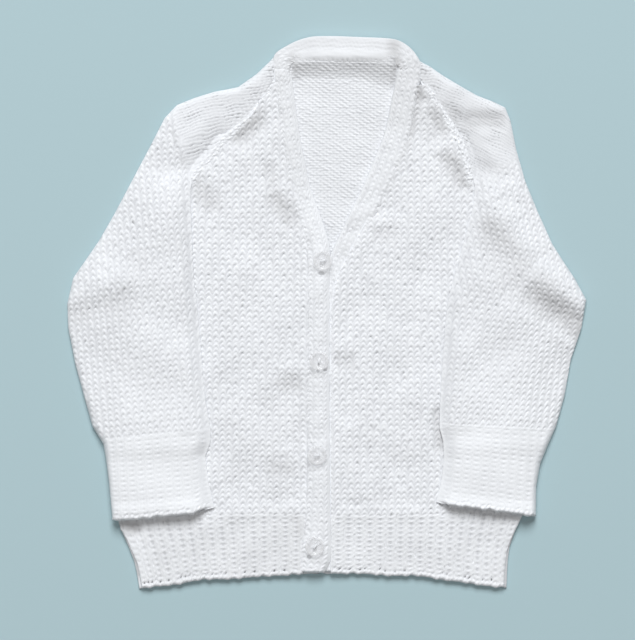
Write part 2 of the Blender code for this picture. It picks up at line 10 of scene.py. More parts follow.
import bpy
import numpy as np
from bpy.props import FloatProperty, FloatVectorProperty, IntProperty, PointerProperty
from bpy.types import Operator, Panel, PropertyGroup
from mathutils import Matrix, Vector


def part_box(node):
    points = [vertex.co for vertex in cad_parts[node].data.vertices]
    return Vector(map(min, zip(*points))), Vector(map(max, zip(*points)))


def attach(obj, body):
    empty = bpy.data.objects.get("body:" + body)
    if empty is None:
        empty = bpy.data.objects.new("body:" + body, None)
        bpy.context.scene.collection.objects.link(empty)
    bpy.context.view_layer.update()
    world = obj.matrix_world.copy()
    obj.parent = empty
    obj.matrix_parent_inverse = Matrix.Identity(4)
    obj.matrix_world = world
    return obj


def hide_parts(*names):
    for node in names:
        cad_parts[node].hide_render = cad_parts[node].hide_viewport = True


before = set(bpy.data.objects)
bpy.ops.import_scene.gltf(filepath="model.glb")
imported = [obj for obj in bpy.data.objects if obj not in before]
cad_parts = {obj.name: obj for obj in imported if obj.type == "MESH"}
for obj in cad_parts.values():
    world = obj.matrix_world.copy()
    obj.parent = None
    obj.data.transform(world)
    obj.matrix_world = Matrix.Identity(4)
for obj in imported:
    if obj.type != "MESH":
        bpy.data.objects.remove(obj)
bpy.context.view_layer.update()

bl_info = {
    "name": "Knitted baby cardigan",
    "version": (1, 0, 0),
    "blender": (4, 5, 0),
    "location": "3D View > Sidebar > Cardigan",
    "description": "Makes a hand-knitted raglan baby cardigan, laid flat",
    "category": "Add Mesh",
}

MM = 0.001

# ---------------------------------------------------------------- layers, mm
CLOTH = 1.6              # thickness of the knitted cloth
GAP = 0.3                # between layers
BAND_CLOTH = 1.8
FRONT_Z = CLOTH + GAP
FRONT_TOP = FRONT_Z + CLOTH
SLEEVE_Z = FRONT_TOP + GAP
FOLD_SLIT = 0.6          # between a sleeve's two layers at a fold
SLEEVE_AIR = 1.7         # how much further apart they are in its middle
WELT_TOP_Y = -107.0
HEM_Y = -138.5
NECK_Y = 134.5
UNDERARM_Y = 27.0
UNDER_BAND = 1.4         # how far a front runs on under its band
SEAM_LIFT = 0.8          # how far a front rises to its band, where the bands lie on each other
BACK_HALF = 116.0        # half the width of the back's lattice
POCKET_OUTER = 4.2       # from a sleeve's outer fold to the hollow inside it
POCKET_INNER = 7.0       # from its inner edge to that hollow
POCKET_TOP_Y = 104.0

# ---------------------------------------------------------------- yarn, in stitches and rows
COLUMN_STEPS = 7         # points across a stitch
ROW_STEPS = 6            # points up a row
RIB_COLUMNS = 11         # points across a rib of the hem, one knit and one purl stitch
WELT_ROWS = 13
BAND_WALE = 0.75         # where a front band's main knit wale lies, as a share of its width
BAND_RIB = 0.62          # how far the next one is, in the same shares
CUFF_RIB_COLUMNS = 10
CUFF_END_Y = -104.0      # a cuff's cast-on edge in its sleeve's lattice, mm
CUFF_ROW = 2.5           # height of a cuff's row, mm
BAND_ROW = 2.45          # height of a front band's row, mm
STRAND_WIDTH = 1.65      # of the strained stitches over the shoulders, mm
STRAND_BEAD = 2.5        # from one swelling of a strand to the next, mm
STRIP_COLUMN = 0.38      # between the points across a band, mm
STRIP_ROW = 0.42         # between the points along a band or a raglan seam, mm
ARCH_RISE = 0.76         # how many rows a stitch's arch is tall
ARCH_POWER = 1.5         # how pointed it is
ARCH_HALF = 0.4          # half the thickness of its yarn, in rows
PLAIN_DEPTH = 0.3        # the depth given to faces that show no stitches

# ---------------------------------------------------------------- tables, mm
# Lower edge of the welts: x, y.
HEM = (
    (-112, -146.8), (-97, -146.5), (-84, -144.2), (-70, -142.2), (-46, -140.6),
    (-20, -139.0), (0, -138.0), (24, -138.8), (50, -139.8), (66, -142.0),
    (80, -144.4), (96, -145.6), (112, -145.8),
)

# Side seam and raglan line: y, wearer's right x, wearer's left x.
SIDES = (
    (-146, -99.5, 95.2),
    (-133, -101.6, 95.8),
    (-125.6, -104.6, 96.4),
    (-120.3, -106.4, 98.0),
    (-115, -109.4, 100.2),
    (-107, -111.5, 103.8),
    (-60, -110.0, 104.5),
    (27, -108.7, 103.5),
    (71.6, -72.1, 76.8),
    (83.7, -61.5, 73.8),
    (91.2, -55.7, 70.8),
    (104.9, -39.8, 62.8),
    (124.6, -28.1, 50.8),
    (134.5, -22.3, 45.0),
)

# Front bands: y, x of the edge sewn to the front, x of the free edge.
BUTTONHOLE_BAND = (
    (-137.4, -14.2, -1.5),
    (-136.0, -14.3, 0.8),
    (-131.5, -14.6, 2.2),
    (-124.0, -13.2, 2.4),
    (-108.0, -11.0, 1.8),
    (-60.0, -10.2, 1.2),
    (20.0, -10.0, 1.2),
    (33.4, -10.6, 2.0),
    (46.6, -13.2, -2.2),
    (63.1, -18.0, -8.4),
    (92.2, -23.9, -14.3),
    (130.0, -28.6, -19.4),
    (133.0, -28.2, -19.3),
)
BUTTON_BAND = (
    (-136.6, 3.4, -5.6),
    (-108.0, 3.6, -5.8),
    (-60.0, 3.6, -5.8),
    (4.0, 3.8, -5.6),
    (20.0, 7.2, -3.0),
    (34.5, 14.6, 4.6),
    (63.1, 30.2, 18.6),
    (92.2, 43.4, 30.4),
    (130.0, 50.6, 37.9),
    (133.0, 48.9, 38.2),
)

# Back neckband, from the wearer's right to left: outer x, outer y, inner x, inner y, lift.
# Lift is 1 where it meets the front bands and 0 where it stands on the back's neck.
NECKBAND = (
    (-28.2, 126.5, -18.9, 126.5, 1.0),
    (-28.6, 130.0, -19.3, 130.0, 1.0),
    (-28.7, 137.2, -18.7, 131.4, 0.9),
    (-23.2, 140.6, -16.6, 132.1, 0.7),
    (-16.2, 144.4, -12.6, 132.7, 0.45),
    (-8.0, 146.7, -7.0, 132.8, 0.2),
    (4.0, 146.8, 4.0, 132.6, 0.1),
    (18.0, 146.2, 18.0, 132.4, 0.1),
    (30.0, 145.8, 28.6, 132.2, 0.25),
    (38.0, 145.0, 33.2, 131.7, 0.5),
    (44.6, 140.6, 36.2, 131.1, 0.75),
    (48.8, 135.2, 37.6, 130.5, 0.9),
    (50.8, 130.0, 38.0, 130.0, 1.0),
    (50.0, 126.5, 37.0, 126.5, 1.0),
)

# Outer folds of the sleeves and their inner edges (raglan line, then inner fold): y, x.
OUTER_RIGHT = (
    (-108.4, -113.6), (-90.0, -115.4), (-77.0, -117.2), (-69.6, -118.6), (-60.0, -124.4),
    (-45.0, -128.6), (-26.5, -133.6), (-8.0, -137.2), (5.0, -137.7), (18.6, -134.6),
    (27.4, -128.5), (38.2, -121.0), (53.0, -112.5), (70.0, -103.5), (87.0, -94.5),
    (103.6, -86.0), (110.4, -79.5), (114.2, -70.0), (117.6, -59.0), (119.6, -47.5),
    (126.7, -37.4), (133.0, -30.8), (137.0, -27.0),
)
INNER_RIGHT = (
    (-102.8, -59.8), (-88.5, -63.0), (-75.6, -64.4), (-69.0, -62.0), (-62.0, -61.6),
    (-46.0, -64.4), (-27.0, -66.0), (-8.0, -67.8), (5.0, -69.0), (18.0, -70.4),
    (27.0, -71.0), (36.0, -71.4), (46.0, -71.8), (57.0, -72.2), (66.0, -72.2),
    (73.0, -71.0), (83.7, -61.5), (91.2, -55.7), (104.9, -39.8), (114.6, -34.0),
    (123.8, -28.4), (137.0, -26.9),
)
OUTER_LEFT = (
    (-107.6, 110.8), (-92.0, 111.0), (-80.0, 113.2), (-70.6, 117.0), (-60.0, 121.6),
    (-44.0, 126.0), (-24.6, 129.4), (-8.0, 135.0), (7.0, 137.6), (18.4, 131.4),
    (27.4, 125.4), (36.6, 119.6), (53.4, 112.0), (70.0, 105.2), (87.0, 100.4),
    (102.0, 97.4), (109.0, 94.6), (112.2, 88.0), (115.4, 79.6), (120.6, 70.5),
    (126.0, 61.5), (130.8, 54.6), (133.4, 49.6),
)
INNER_LEFT = (
    (-99.6, 58.0), (-89.0, 60.6), (-77.0, 62.0), (-68.0, 61.6), (-60.6, 59.6),
    (-45.0, 60.0), (-26.0, 61.2), (-8.0, 62.4), (6.0, 63.8), (18.0, 67.0),
    (27.0, 69.4), (35.0, 71.6), (46.0, 74.8), (57.0, 77.6), (67.0, 78.4),
    (75.0, 76.6), (83.7, 73.8), (91.2, 70.8), (104.9, 62.8), (114.6, 56.4),
    (124.4, 49.4), (133.4, 49.5),
)
# Lower edges of the cuffs: x, y.
CUFF_END_RIGHT = ((-114, -109.9), (-101, -109.5), (-85, -107.6), (-71.4, -106.5),
                  (-64.4, -103.6), (-59.8, -102.8))
CUFF_END_LEFT = ((58, -99.8), (66, -102.0), (82, -103.9), (98, -106.1), (111, -108.1))

# A wale of each sleeve, which the others run beside (y, x), and how far a row falls for each
# millimetre to the right (y, fall).
WALE_RIGHT = ((-108, -58.0), (-66, -61.0), (66, -72.5), (134, -78.4))
WALE_LEFT = ((-108, 86.0), (-62, 90.0), (-25, 94.3), (7, 98.0), (33, 94.3), (76, 86.4),
             (134, 75.8))
FALL_RIGHT = ((-108, -0.10), (134, -0.087))
FALL_LEFT = ((-108, 0.15), (-78, 0.12), (-60, 0.05), (-30, 0.04), (20, 0.15), (134, 0.15))

# What shows of the buttonholes below the buttons, a shallow recess whose darkness is painted shade:
# x, y, half length, half height, depth (how far below 0 the stitch depth that colours it is taken).
BUTTONHOLES = (
    (-2.9, 20.9, 2.0, 1.1, 0.15),
    (-4.8, -30.8, 1.0, 1.0, 0.2),
    (-1.0, -30.2, 1.3, 0.9, 0.25),
    (-5.4, -80.2, 3.4, 0.9, 0.0),
    (-9.4, -129.2, 1.6, 1.3, 0.15),
)

# Soft ridges of the fronts: x0, y0, x1, y1, half width, height.
PUFFS = (
    (-44, 80, -32, 50, 9, 0.8),
    (-50, 20, -34, -30, 13, 0.9),
    (-30, -78, -44, -60, 9, 0.8),
    (-50, -106, -18, -105, 3.5, 0.6),
    (58, 72, 52, 44, 9, 0.8),
    (30, 30, 36, -14, 12, 0.8),
    (12, -62, 15, -96, 4, 1.2),
    (10, -106, 48, -106, 3.5, 0.6),
    (48, -40, 44, -66, 9, 0.7),
    (-42, 110, -34, 112, 4, 1.0),
    (-26, 64, -22, 60, 4, 0.9),
    (-22, -30, -17, -30, 4, 0.8),
    (-28, -74, -22, -74, 4, 0.8),
    (28, 47, 34, 49, 4, 0.7),
    (6, -18, 12, -18, 3.5, 0.7),
    (44, 124, 54, 118, 4, 0.8),
    (55, 110, 60, 108, 4, 0.8),
    (60, 86, 68, 82, 4, 0.9),
)
# Small soft hollows of the fronts, in the same form, with a depth, which also sets the painted
# shade they are given.
HOLLOWS = (
    (-46, 94, -38, 101, 5.0, 1.9),
    (-27, 60, -20, 50, 4.5, 1.5),
    (-31, 76, -27, 62, 3.5, 0.9),
    (-22, -38, -17, -39, 4.0, 1.0),
    (-28, -82, -22, -83, 4.0, 1.0),
    (-70, 68, -62, 58, 5.0, 1.2),
    (-16, -110, -12, -122, 3.5, 0.5),
    (43, 116, 52, 114, 4.0, 1.5),
    (49, 108, 23, 52, 2.2, 0.6),
    (57, 106, 60, 99, 4.5, 1.6),
    (65, 82, 72, 70, 4.5, 1.7),
    (28, 41, 34, 41, 4.0, 0.8),
    (7, -26, 11, -27, 3.5, 0.9),
    (60, -54, 61, -70, 4.0, 1.7),
    (52, 100, 56, 96, 6.0, 0.8),
    (-110, -113, -102, -114, 3.5, 2.4),
)
# Soft shade of the sleeves, in the same form, with a strength.
SLEEVE_SHADES = (
    (133, -5, 114, 9, 6.2, 0.36),
    (118, 14, 86, 47, 5.0, 0.24),
    (-128, -2, -106, 2, 7.0, 0.14),
    (-110, 22, -100, 28, 6.0, 0.15),
    (76, 100, 90, 102, 4.0, 0.12),
    (60, 106, 68, 103, 3.0, 0.2),
)
# Soft shade at the neck's corners, in the same form.
NECK_SHADES = (
    (35.5, 142, 36.5, 124, 3.0, 0.5),
    (-17.5, 135, -17.0, 130, 2.8, 0.4),
)
# Soft ridges of the sleeves' upper layer, in the same form.
SLEEVE_PUFFS = (
    (-74, 40, -74, -60, 3.5, 0.7),
    (-134, 9, -108, 18, 5, 0.8),
    (-114, -72, -66, -71, 3.6, 0.45),
    (-112, -106, -70, -103, 3.2, 1.0),
    (138, 1, 112, 21, 6.2, 2.2),
    (108, 22, 95, 48, 7, 1.5),
    (86, 82, 92, 78, 5, 0.8),
    (64, -101, 108, -105, 3.2, 1.0),
    (66, -71, 116, -70, 3.6, 0.4),
    (72, 108, 88, 108, 4, 0.8),
    (70, -20, 70, -56, 5, 0.7),
)
# Soft troughs of the sleeves' upper layer, in the same form; their depth also sets some painted
# shade.
CREASES = (
    (-136, -3, -106, 6, 5, 0.7),
    (-128, 62, -84, 70, 8, 0.5),
    (-112, -20, -84, -34, 9, 0.6),
    (133, -8, 108, 8, 5.8, 2.2),
    (99, 14, 84, 42, 7, 1.4),
    (83, 74, 90, 71, 5, 0.9),
    (128, -28, 92, -18, 9, 0.6),
    (78, 102, 90, 101, 4, 1.2),
    (62, 106, 68, 104, 3.5, 1.0),
)
# The right sleeve's fold at the shoulder, where the knitting turns down: x0, y0, x1, y1.
SHOULDER_FOLD = (-82.0, 107.6, -73.0, 68.0)

# Fronts: band, Y of the top, X where the lattice ends under the band, and X beyond which the
# sleeve hides the front.
FRONTS = {
    "right": (BUTTONHOLE_BAND, 122.0, 6.0, -76.0),
    "left": (BUTTON_BAND, 121.0, -4.0, 82.0),
}
# Zones of the back's upper face: up to this Y, the X between which every column is kept.
BACK_ZONES = ((28.0, 0.0, 0.0), (48.0, -12.0, 21.0), (78.0, -22.0, 35.0), (np.inf, -27.0, 46.0))
FRONT_STITCHES = 42      # from the middle of the lattice to its side
BELOW_CUFFS_Y = -99.0    # up to here every column of a front is kept
# Sleeves: outer fold, inner edge, wale, fall and cuff's edge, Y where the cuff begins, and how
# far the lattice reaches from the wale.
SLEEVES = {
    "right": (OUTER_RIGHT, INNER_RIGHT, WALE_RIGHT, FALL_RIGHT, CUFF_END_RIGHT, -61.0, (-84, 54)),
    "left": (OUTER_LEFT, INNER_LEFT, WALE_LEFT, FALL_LEFT, CUFF_END_LEFT, -60.0, (-48, 52)),
}
# Raglan seams: direction of the sleeve's side, Y of the upper end, X of the neck's corner, how
# bold the stitches are, and the power that rounds their line.
RAGLANS = {
    "right": (1.0, 131.0, -28.8, 0.5, 0.7),
    "left": (-1.0, 128.0, 50.6, 0.65, 0.5),
}
RAGLAN_START_Y = 64.0
RAGLAN_TURN_Y = 122.0    # from here the seam turns to the neck's corner
RAGLAN_CORNER_Y = 134.0
RAGLAN_HALF = 2.3        # half the width of its line
RAGLAN_ROW = 2.9         # height of its stitches

# Section of a button: share of its radius, share of its height.
BUTTON_PROFILE = (
    (0, 0), (0.5, 0), (0.74, 0.08), (0.9, 0.3), (0.98, 0.52), (1, 0.66), (0.985, 0.82),
    (0.94, 0.94), (0.88, 0.995), (0.82, 0.99), (0.75, 0.92), (0.67, 0.8), (0.58, 0.69),
    (0.46, 0.62), (0.25, 0.6), (0, 0.6),
)
BUTTON_FLOOR = 0.6       # height of the dished middle, in the same shares
BUTTON_SEGMENTS = 56
BUTTON_TURNS = (24, 80, 12, 55)   # directions of the two holes, degrees
HOLE_SPREAD = 0.27       # from a button's middle to its hole, as a share of its radius
HOLE_RADIUS = 0.09       # in the same shares
THREAD_RADIUS = 0.27
THREAD_ASIDE = 0.22      # half the space between the two threads

# What the cloth's soft shade, at full strength, multiplies its colour by.
SHADE_TINT = (0.655, 0.645, 0.635, 1.0)

# ---------------------------------------------------------------- stage, metres
FLOOR_HALF = 1.6
FLOOR_Z = -0.0001
PICTURE_HEIGHT = 640     # pixels
SENSOR = 24.0            # height of the camera's sensor, its own millimetres
SKY_COLOUR = (1.0, 0.98, 0.955, 1.0)
# Lights, aimed at the origin: name, place, width of the disc, colour.
LIGHTS = (
    ("key light", (0.05, 2.7, 3.05), 2.2, (0.975, 0.99, 1.0)),
    ("fill light", (-0.6, -1.0, 3.2), 2.8, (1.0, 0.99, 0.975)),
)


# ================================================================ settings
def length_prop(name, description, default):
    """A property for a length, shown to a hundredth of a millimetre."""
    return FloatProperty(
        name=name, description=description, default=default, unit="LENGTH", precision=5)


def colour_prop(name, description, default):
    """A property for a colour."""
    return FloatVectorProperty(
        name=name, description=description, default=default, subtype="COLOR", size=3)


class CardiganKnit(PropertyGroup):
    """Sizes of the knitting."""

    stitch_width: length_prop("Stitch width", "Width of a stitch of the body", 0.00357)
    row_height: length_prop("Row height", "Height of a row of the body", 0.00276)
    sleeve_stitch: length_prop(
        "Sleeve stitch width", "Width of a stitch of the sleeves", 0.00334)
    sleeve_row: length_prop("Sleeve row height", "Height of a row of the sleeves", 0.00286)
    relief: length_prop("Stitch relief", "How far a stitch stands out of the cloth", 0.0006)
    rib_relief: length_prop("Rib relief", "How far a rib stands out of the welt", 0.0009)
    unevenness: FloatProperty(
        name="Unevenness", description="How much stitches differ from each other",
        default=1.3, min=0.0, max=2.0)
    seed: IntProperty(
        name="Seed", description="Choice of the small differences between stitches", default=7)


class CardiganLook(PropertyGroup):
    """Colours of the yarn, the buttons and the floor."""

    wool: colour_prop(
        "Wool", "Colour of the yarn where it faces the light", (0.86, 0.877, 0.908))
    # Painted shade: the colour given to the yarn deep between stitches, standing in for the shade
    # there.
    wool_pit_shade: colour_prop(
        "Wool, between stitches", "Colour of the yarn deep between stitches",
        (0.77, 0.785, 0.818))
    pearl: colour_prop("Pearl", "Colour of the buttons", (0.97, 0.97, 0.985))
    floor: colour_prop("Floor", "Colour of the floor", (0.42, 0.56, 0.60))


class CardiganStage(PropertyGroup):
    """The camera's place and the lights."""

    pixel: length_prop("Pixel", "Real width of one pixel of a picture 635 by 640", 0.00053)
    middle_x: length_prop("Middle X", "Where the camera's middle falls on the cardigan", -0.005)
    middle_y: length_prop("Middle Y", "Where the camera's middle falls on the cardigan", -0.0037)
    distance: length_prop("Camera height", "Height of the camera above the floor", 1.5)
    key_power: FloatProperty(
        name="Key light", description="Power of the light beyond the neck",
        default=163.0, unit="POWER")
    fill_power: FloatProperty(
        name="Fill light", description="Power of the light overhead",
        default=19.5, unit="POWER")
    sky: FloatProperty(
        name="Sky", description="Strength of the even light from all round", default=0.18)


# ================================================================ small helpers
def blend(first, second, share):
    """From first, where share is 0, to second, where it is 1."""
    return first * (1.0 - share) + second * share


def hump(share):
    """0 at a strip's two edges and 1 in its middle."""
    return np.sin(np.pi * np.clip(share, 0.0, 1.0))


def smoothstep(low, high, value):
    """0 at low, 1 at high, and a smooth curve between."""
    t = np.clip((value - low) / (high - low), 0.0, 1.0)
    return t * t * (3.0 - 2.0 * t)


def read(table, at, index=1):
    """A table's column read at a value of its first column, which rises."""
    given = np.array(table, dtype=float)
    return np.interp(at, given[:, 0], given[:, index])


def line_parts(line, x, y):
    """Share along a straight line, from 0 to 1, and the distance from it."""
    x0, y0, x1, y1 = line
    along = ((x - x0) * (x1 - x0) + (y - y0) * (y1 - y0)) / ((x1 - x0) ** 2 + (y1 - y0) ** 2)
    along = np.clip(along, 0.0, 1.0)
    return along, np.hypot(x - x0 - along * (x1 - x0), y - y0 - along * (y1 - y0))


def ridges(table, x, y):
    """Height from a table of ridge lines: the highest of them, each fading with distance."""
    height = np.zeros(np.broadcast(x, y).shape)
    for *line, half_width, top in table:
        away = line_parts(line, x, y)[1]
        height = np.maximum(height, top * smoothstep(1.0, 0.0, away / (2.0 * half_width)))
    return height


def distance_to(points, x, y):
    """Distance from a chain of straight lines through points."""
    away = np.full(np.broadcast(x, y).shape, 1e9)
    for (x0, y0), (x1, y1) in zip(points[:-1], points[1:]):
        away = np.minimum(away, line_parts((x0, y0, x1, y1), x, y)[1])
    return away


def swell(x, y, seed, wave):
    """Soft unevenness, about -1 to 1: 0.4 times the sum of five plane waves of much the same
    length, in directions of their own."""
    luck = np.random.default_rng(seed)
    total = np.zeros(np.broadcast(x, y).shape)
    for _ in range(5):
        angle = luck.uniform(0.0, 2.0 * np.pi)
        turns = 2.0 * np.pi / (wave * luck.uniform(0.7, 1.5))
        total += np.sin(turns * (x * np.cos(angle) + y * np.sin(angle)) + luck.uniform(0, 6.3))
    return total / 2.5


def chance(seed, row, column):
    """A number from 0 to 1 for each stitch, the same for the same stitch."""
    table = np.random.default_rng(seed).random((101, 97))
    return table[row.astype(int) % 101, column.astype(int) % 97]


def vary(seed, row, column, uneven):
    """How far a stitch differs from the others: from -0.5 to 0.5, times uneven."""
    return (chance(seed, row, column) - 0.5) * uneven


def cells(value):
    """Number of the unit cell that a value lies in, and its place there, from -0.5 to 0.5."""
    number = np.floor(value)
    return number, value - number - 0.5


def dome(t):
    """Height of a round section: 1 at its middle, where t is 0, and 0 from t = 1 on."""
    return np.sqrt(np.clip(1.0 - t ** 2, 0.0, 1.0))


def smoothed(values, times):
    """A row of values, each but the ends averaged with its neighbours, so many times."""
    values = np.array(values)
    for _ in range(times):
        values[1:-1] = (values[:-2] + 2.0 * values[1:-1] + values[2:]) / 4.0
    return values


def plain_depth(x):
    """The depth of a face that shows no stitches."""
    return np.full(np.shape(x), PLAIN_DEPTH)


def roll(away, radius):
    """Share of full height near a folded edge: a quarter of an ellipse, 0 at the edge."""
    t = np.clip(1.0 - away / radius, 0.0, 1.0)
    return np.sqrt(1.0 - t * t)


# ================================================================ yarn patterns
def stocking(u, v, seed, uneven, skew=0.0):
    """Height of stocking stitch at u stitches across and v rows up, from 0 to about 1.

    Each stitch is an arch of yarn. With q from 0 at its middle to 1 at its feet, the arch's
    middle line is ARCH_RISE * q ** ARCH_POWER rows below its head, and its section is round.
    A slit parts each column of stitches from the next. skew tips the arch and thins one leg.
    Here and there a pit is an open hole, with a height below 0.
    """
    column, across = cells(u)
    height = np.full(np.shape(u), -1.0)
    for step in (-1, 0, 1):
        row = np.floor(v) + step
        rise, lean, size = (vary(seed + number, row, column, uneven) for number in range(3))
        q = np.clip(2.0 * np.abs(across - 0.12 * lean), 0.0, 1.1)
        middle = row + 0.66 + 0.2 * rise - ARCH_RISE * q ** ARCH_POWER
        middle = middle + (0.35 * lean + skew) * across
        arch = dome((v - middle) / (ARCH_HALF * (1.0 + 0.3 * size)))
        arch = arch * (1.0 - 0.5 * q ** 1.5) * (1.0 + (0.9 * lean - 0.8 * skew) * across)
        height = np.maximum(height, arch * (0.95 + 0.3 * size))
    height = height * (1.0 - 0.55 * smoothstep(0.28, 0.48, np.abs(across)))
    holed = smoothstep(0.84, 1.0, chance(seed + 7, np.floor(v + 0.2), column))
    inmost = smoothstep(0.3, 0.1, np.abs(across))
    return height - 0.25 * holed * smoothstep(0.25, 0.0, height) * inmost


def strands(t, s, seed, uneven, bumps):
    """Height of strained stitches: cords side by side along s, one to each unit of t.

    A cord's section is nearly round, and swells once for each unit of s by the share bumps.
    """
    cord, across = cells(t)
    luck = vary(seed, cord, np.floor(0.23 * s), uneven)
    section = np.clip(1.0 - ((across - 0.1 * luck) / 0.5) ** 2, 0.0, 1.0) ** 0.65
    phase = s + 3.7 * chance(seed + 1, cord, cord)
    return section * (0.85 + 0.2 * luck - bumps * (0.5 + 0.5 * np.cos(2.0 * np.pi * phase)))


def purl(u, v, seed, uneven):
    """Height of the back of stocking stitch at u stitches across and v half rows up: slanting
    dashes of yarn, laid like bricks.

    A dash's middle falls some 0.3 half rows for each stitch across, and its sections are round.
    """
    height = np.zeros(np.shape(u))
    for step in (-1, 0, 1):
        row = np.floor(v) + step
        column, across = cells(u + 0.5 * np.mod(row, 2.0))
        size = vary(seed + 3, row, column, uneven)
        away = (v - row - 0.5 + (0.3 + 0.8 * size) * across - 0.25 * size) / 0.46
        dash = dome(away) * dome(across / 0.46)
        height = np.maximum(height, dash * (0.8 + 0.5 * size))
    return height


def rib(u, v, seed, uneven, knit_half, bar_height, openness, tilt=0.0, split=0.0):
    """Height of one-by-one rib, at u ribs across and v rows up.

    A knit wale is a narrow cord of links at the middle of each rib. Between two of them hang
    bars of yarn, one to a row, each a shallow U, tipped by tilt. Midway between the wales, a
    round open hole as deep as openness lies between one bar and the next. split parts a
    wale's links down their middle, and makes the bars rounder.
    """
    column, phase = cells(u)
    row = np.floor(v)
    size = vary(seed + 4, row, column, uneven)
    side = np.abs(phase + 0.04 * size)
    link = 0.9 + 0.1 * np.cos(2.0 * np.pi * (v + 0.1 * size))
    wale = dome(side / (knit_half * (1.0 + 0.3 * size))) * link
    out = np.clip((side - knit_half) / (0.5 - knit_half), 0.0, 1.0)
    ladder = column + (phase > 0.0)
    aslant = tilt * (u - ladder)
    bars = np.zeros(np.shape(u))
    hole = np.zeros(np.shape(u))
    for step in (-1, 0, 1):
        line = row + step
        drop = vary(seed + 5, line, ladder, uneven)
        middle = line + 0.57 - 0.08 * out + 0.18 * drop + aslant
        bars = np.maximum(bars, dome((v - middle) / (0.5 + 0.1 * drop)))
        aside = (1.0 - out + 0.15 * drop) / 0.33
        below = (v - middle + 0.5) / 0.31
        luck = 0.25 + 0.9 * chance(seed + 9, line, ladder)
        hole = np.maximum(hole, luck * np.exp(-aside ** 2 - below ** 2))
    slit = split * np.exp(-((phase - 0.045) / 0.04) ** 2)
    slit = slit * smoothstep(0.1, 0.9, chance(seed + 10, row, column))
    low = 0.25 + 0.2 * split
    return np.maximum(wale, bar_height * (1.0 - low + low * bars)) - openness * hole - slit


def beads(u, v, seed, uneven):
    """Height of a cast-on edge: one slanting oval bead to each unit of u, v from -1 to 1."""
    column, phase = cells(u)
    size = vary(seed + 6, column, column, uneven)
    across = (phase - 0.22 * v) / (0.5 + 0.08 * size)
    return np.sqrt(np.clip(1.0 - across ** 2 - (v / 1.05) ** 2, 0.0, 1.0))


def cast_on_pits(across, up, seed):
    """Strength, 0 to 1, of the pits just above a cast-on edge: one to each 2.7 mm across at
    most, each a soft slanting spot 2.3 to 3.5 mm up, many of them missing."""
    number, along = cells(across / 2.7)
    high = up - 2.3 - 1.2 * chance(seed + 11, number, number)
    spot = np.exp(-((along - 0.2 * high) / 0.24) ** 2 - (high / 0.7) ** 2)
    return spot * smoothstep(0.3, 0.9, chance(seed + 8, number, number))


def pit_line(share, step, seed, at, half, long):
    """Strength, 0 to 1, of soft pits in a line along a band, and each one's luck: one to each
    unit of step, at one share of its width."""
    number, along = cells(step)
    spot = np.exp(-((share - at) / half) ** 2 - (along / long) ** 2)
    return spot, chance(seed + 8, number, number)


# ================================================================ closed shells
def zip_chains(low, high):
    """Triangles between two chains of points, each a pair (values that rise, ids).

    Every step of one chain is joined to the last point that is behind it on the other.
    """
    t_low, id_low = low
    t_high, id_high = high
    behind = np.clip(np.searchsorted(t_high, t_low[1:], side="left") - 1, 0, None)
    steps_low = np.column_stack((id_low[:-1], id_low[1:], id_high[behind]))
    behind = np.clip(np.searchsorted(t_low, t_high[1:], side="right") - 1, 0, None)
    steps_high = np.column_stack((id_low[behind], id_high[1:], id_high[:-1]))
    return np.vstack((steps_low, steps_high))


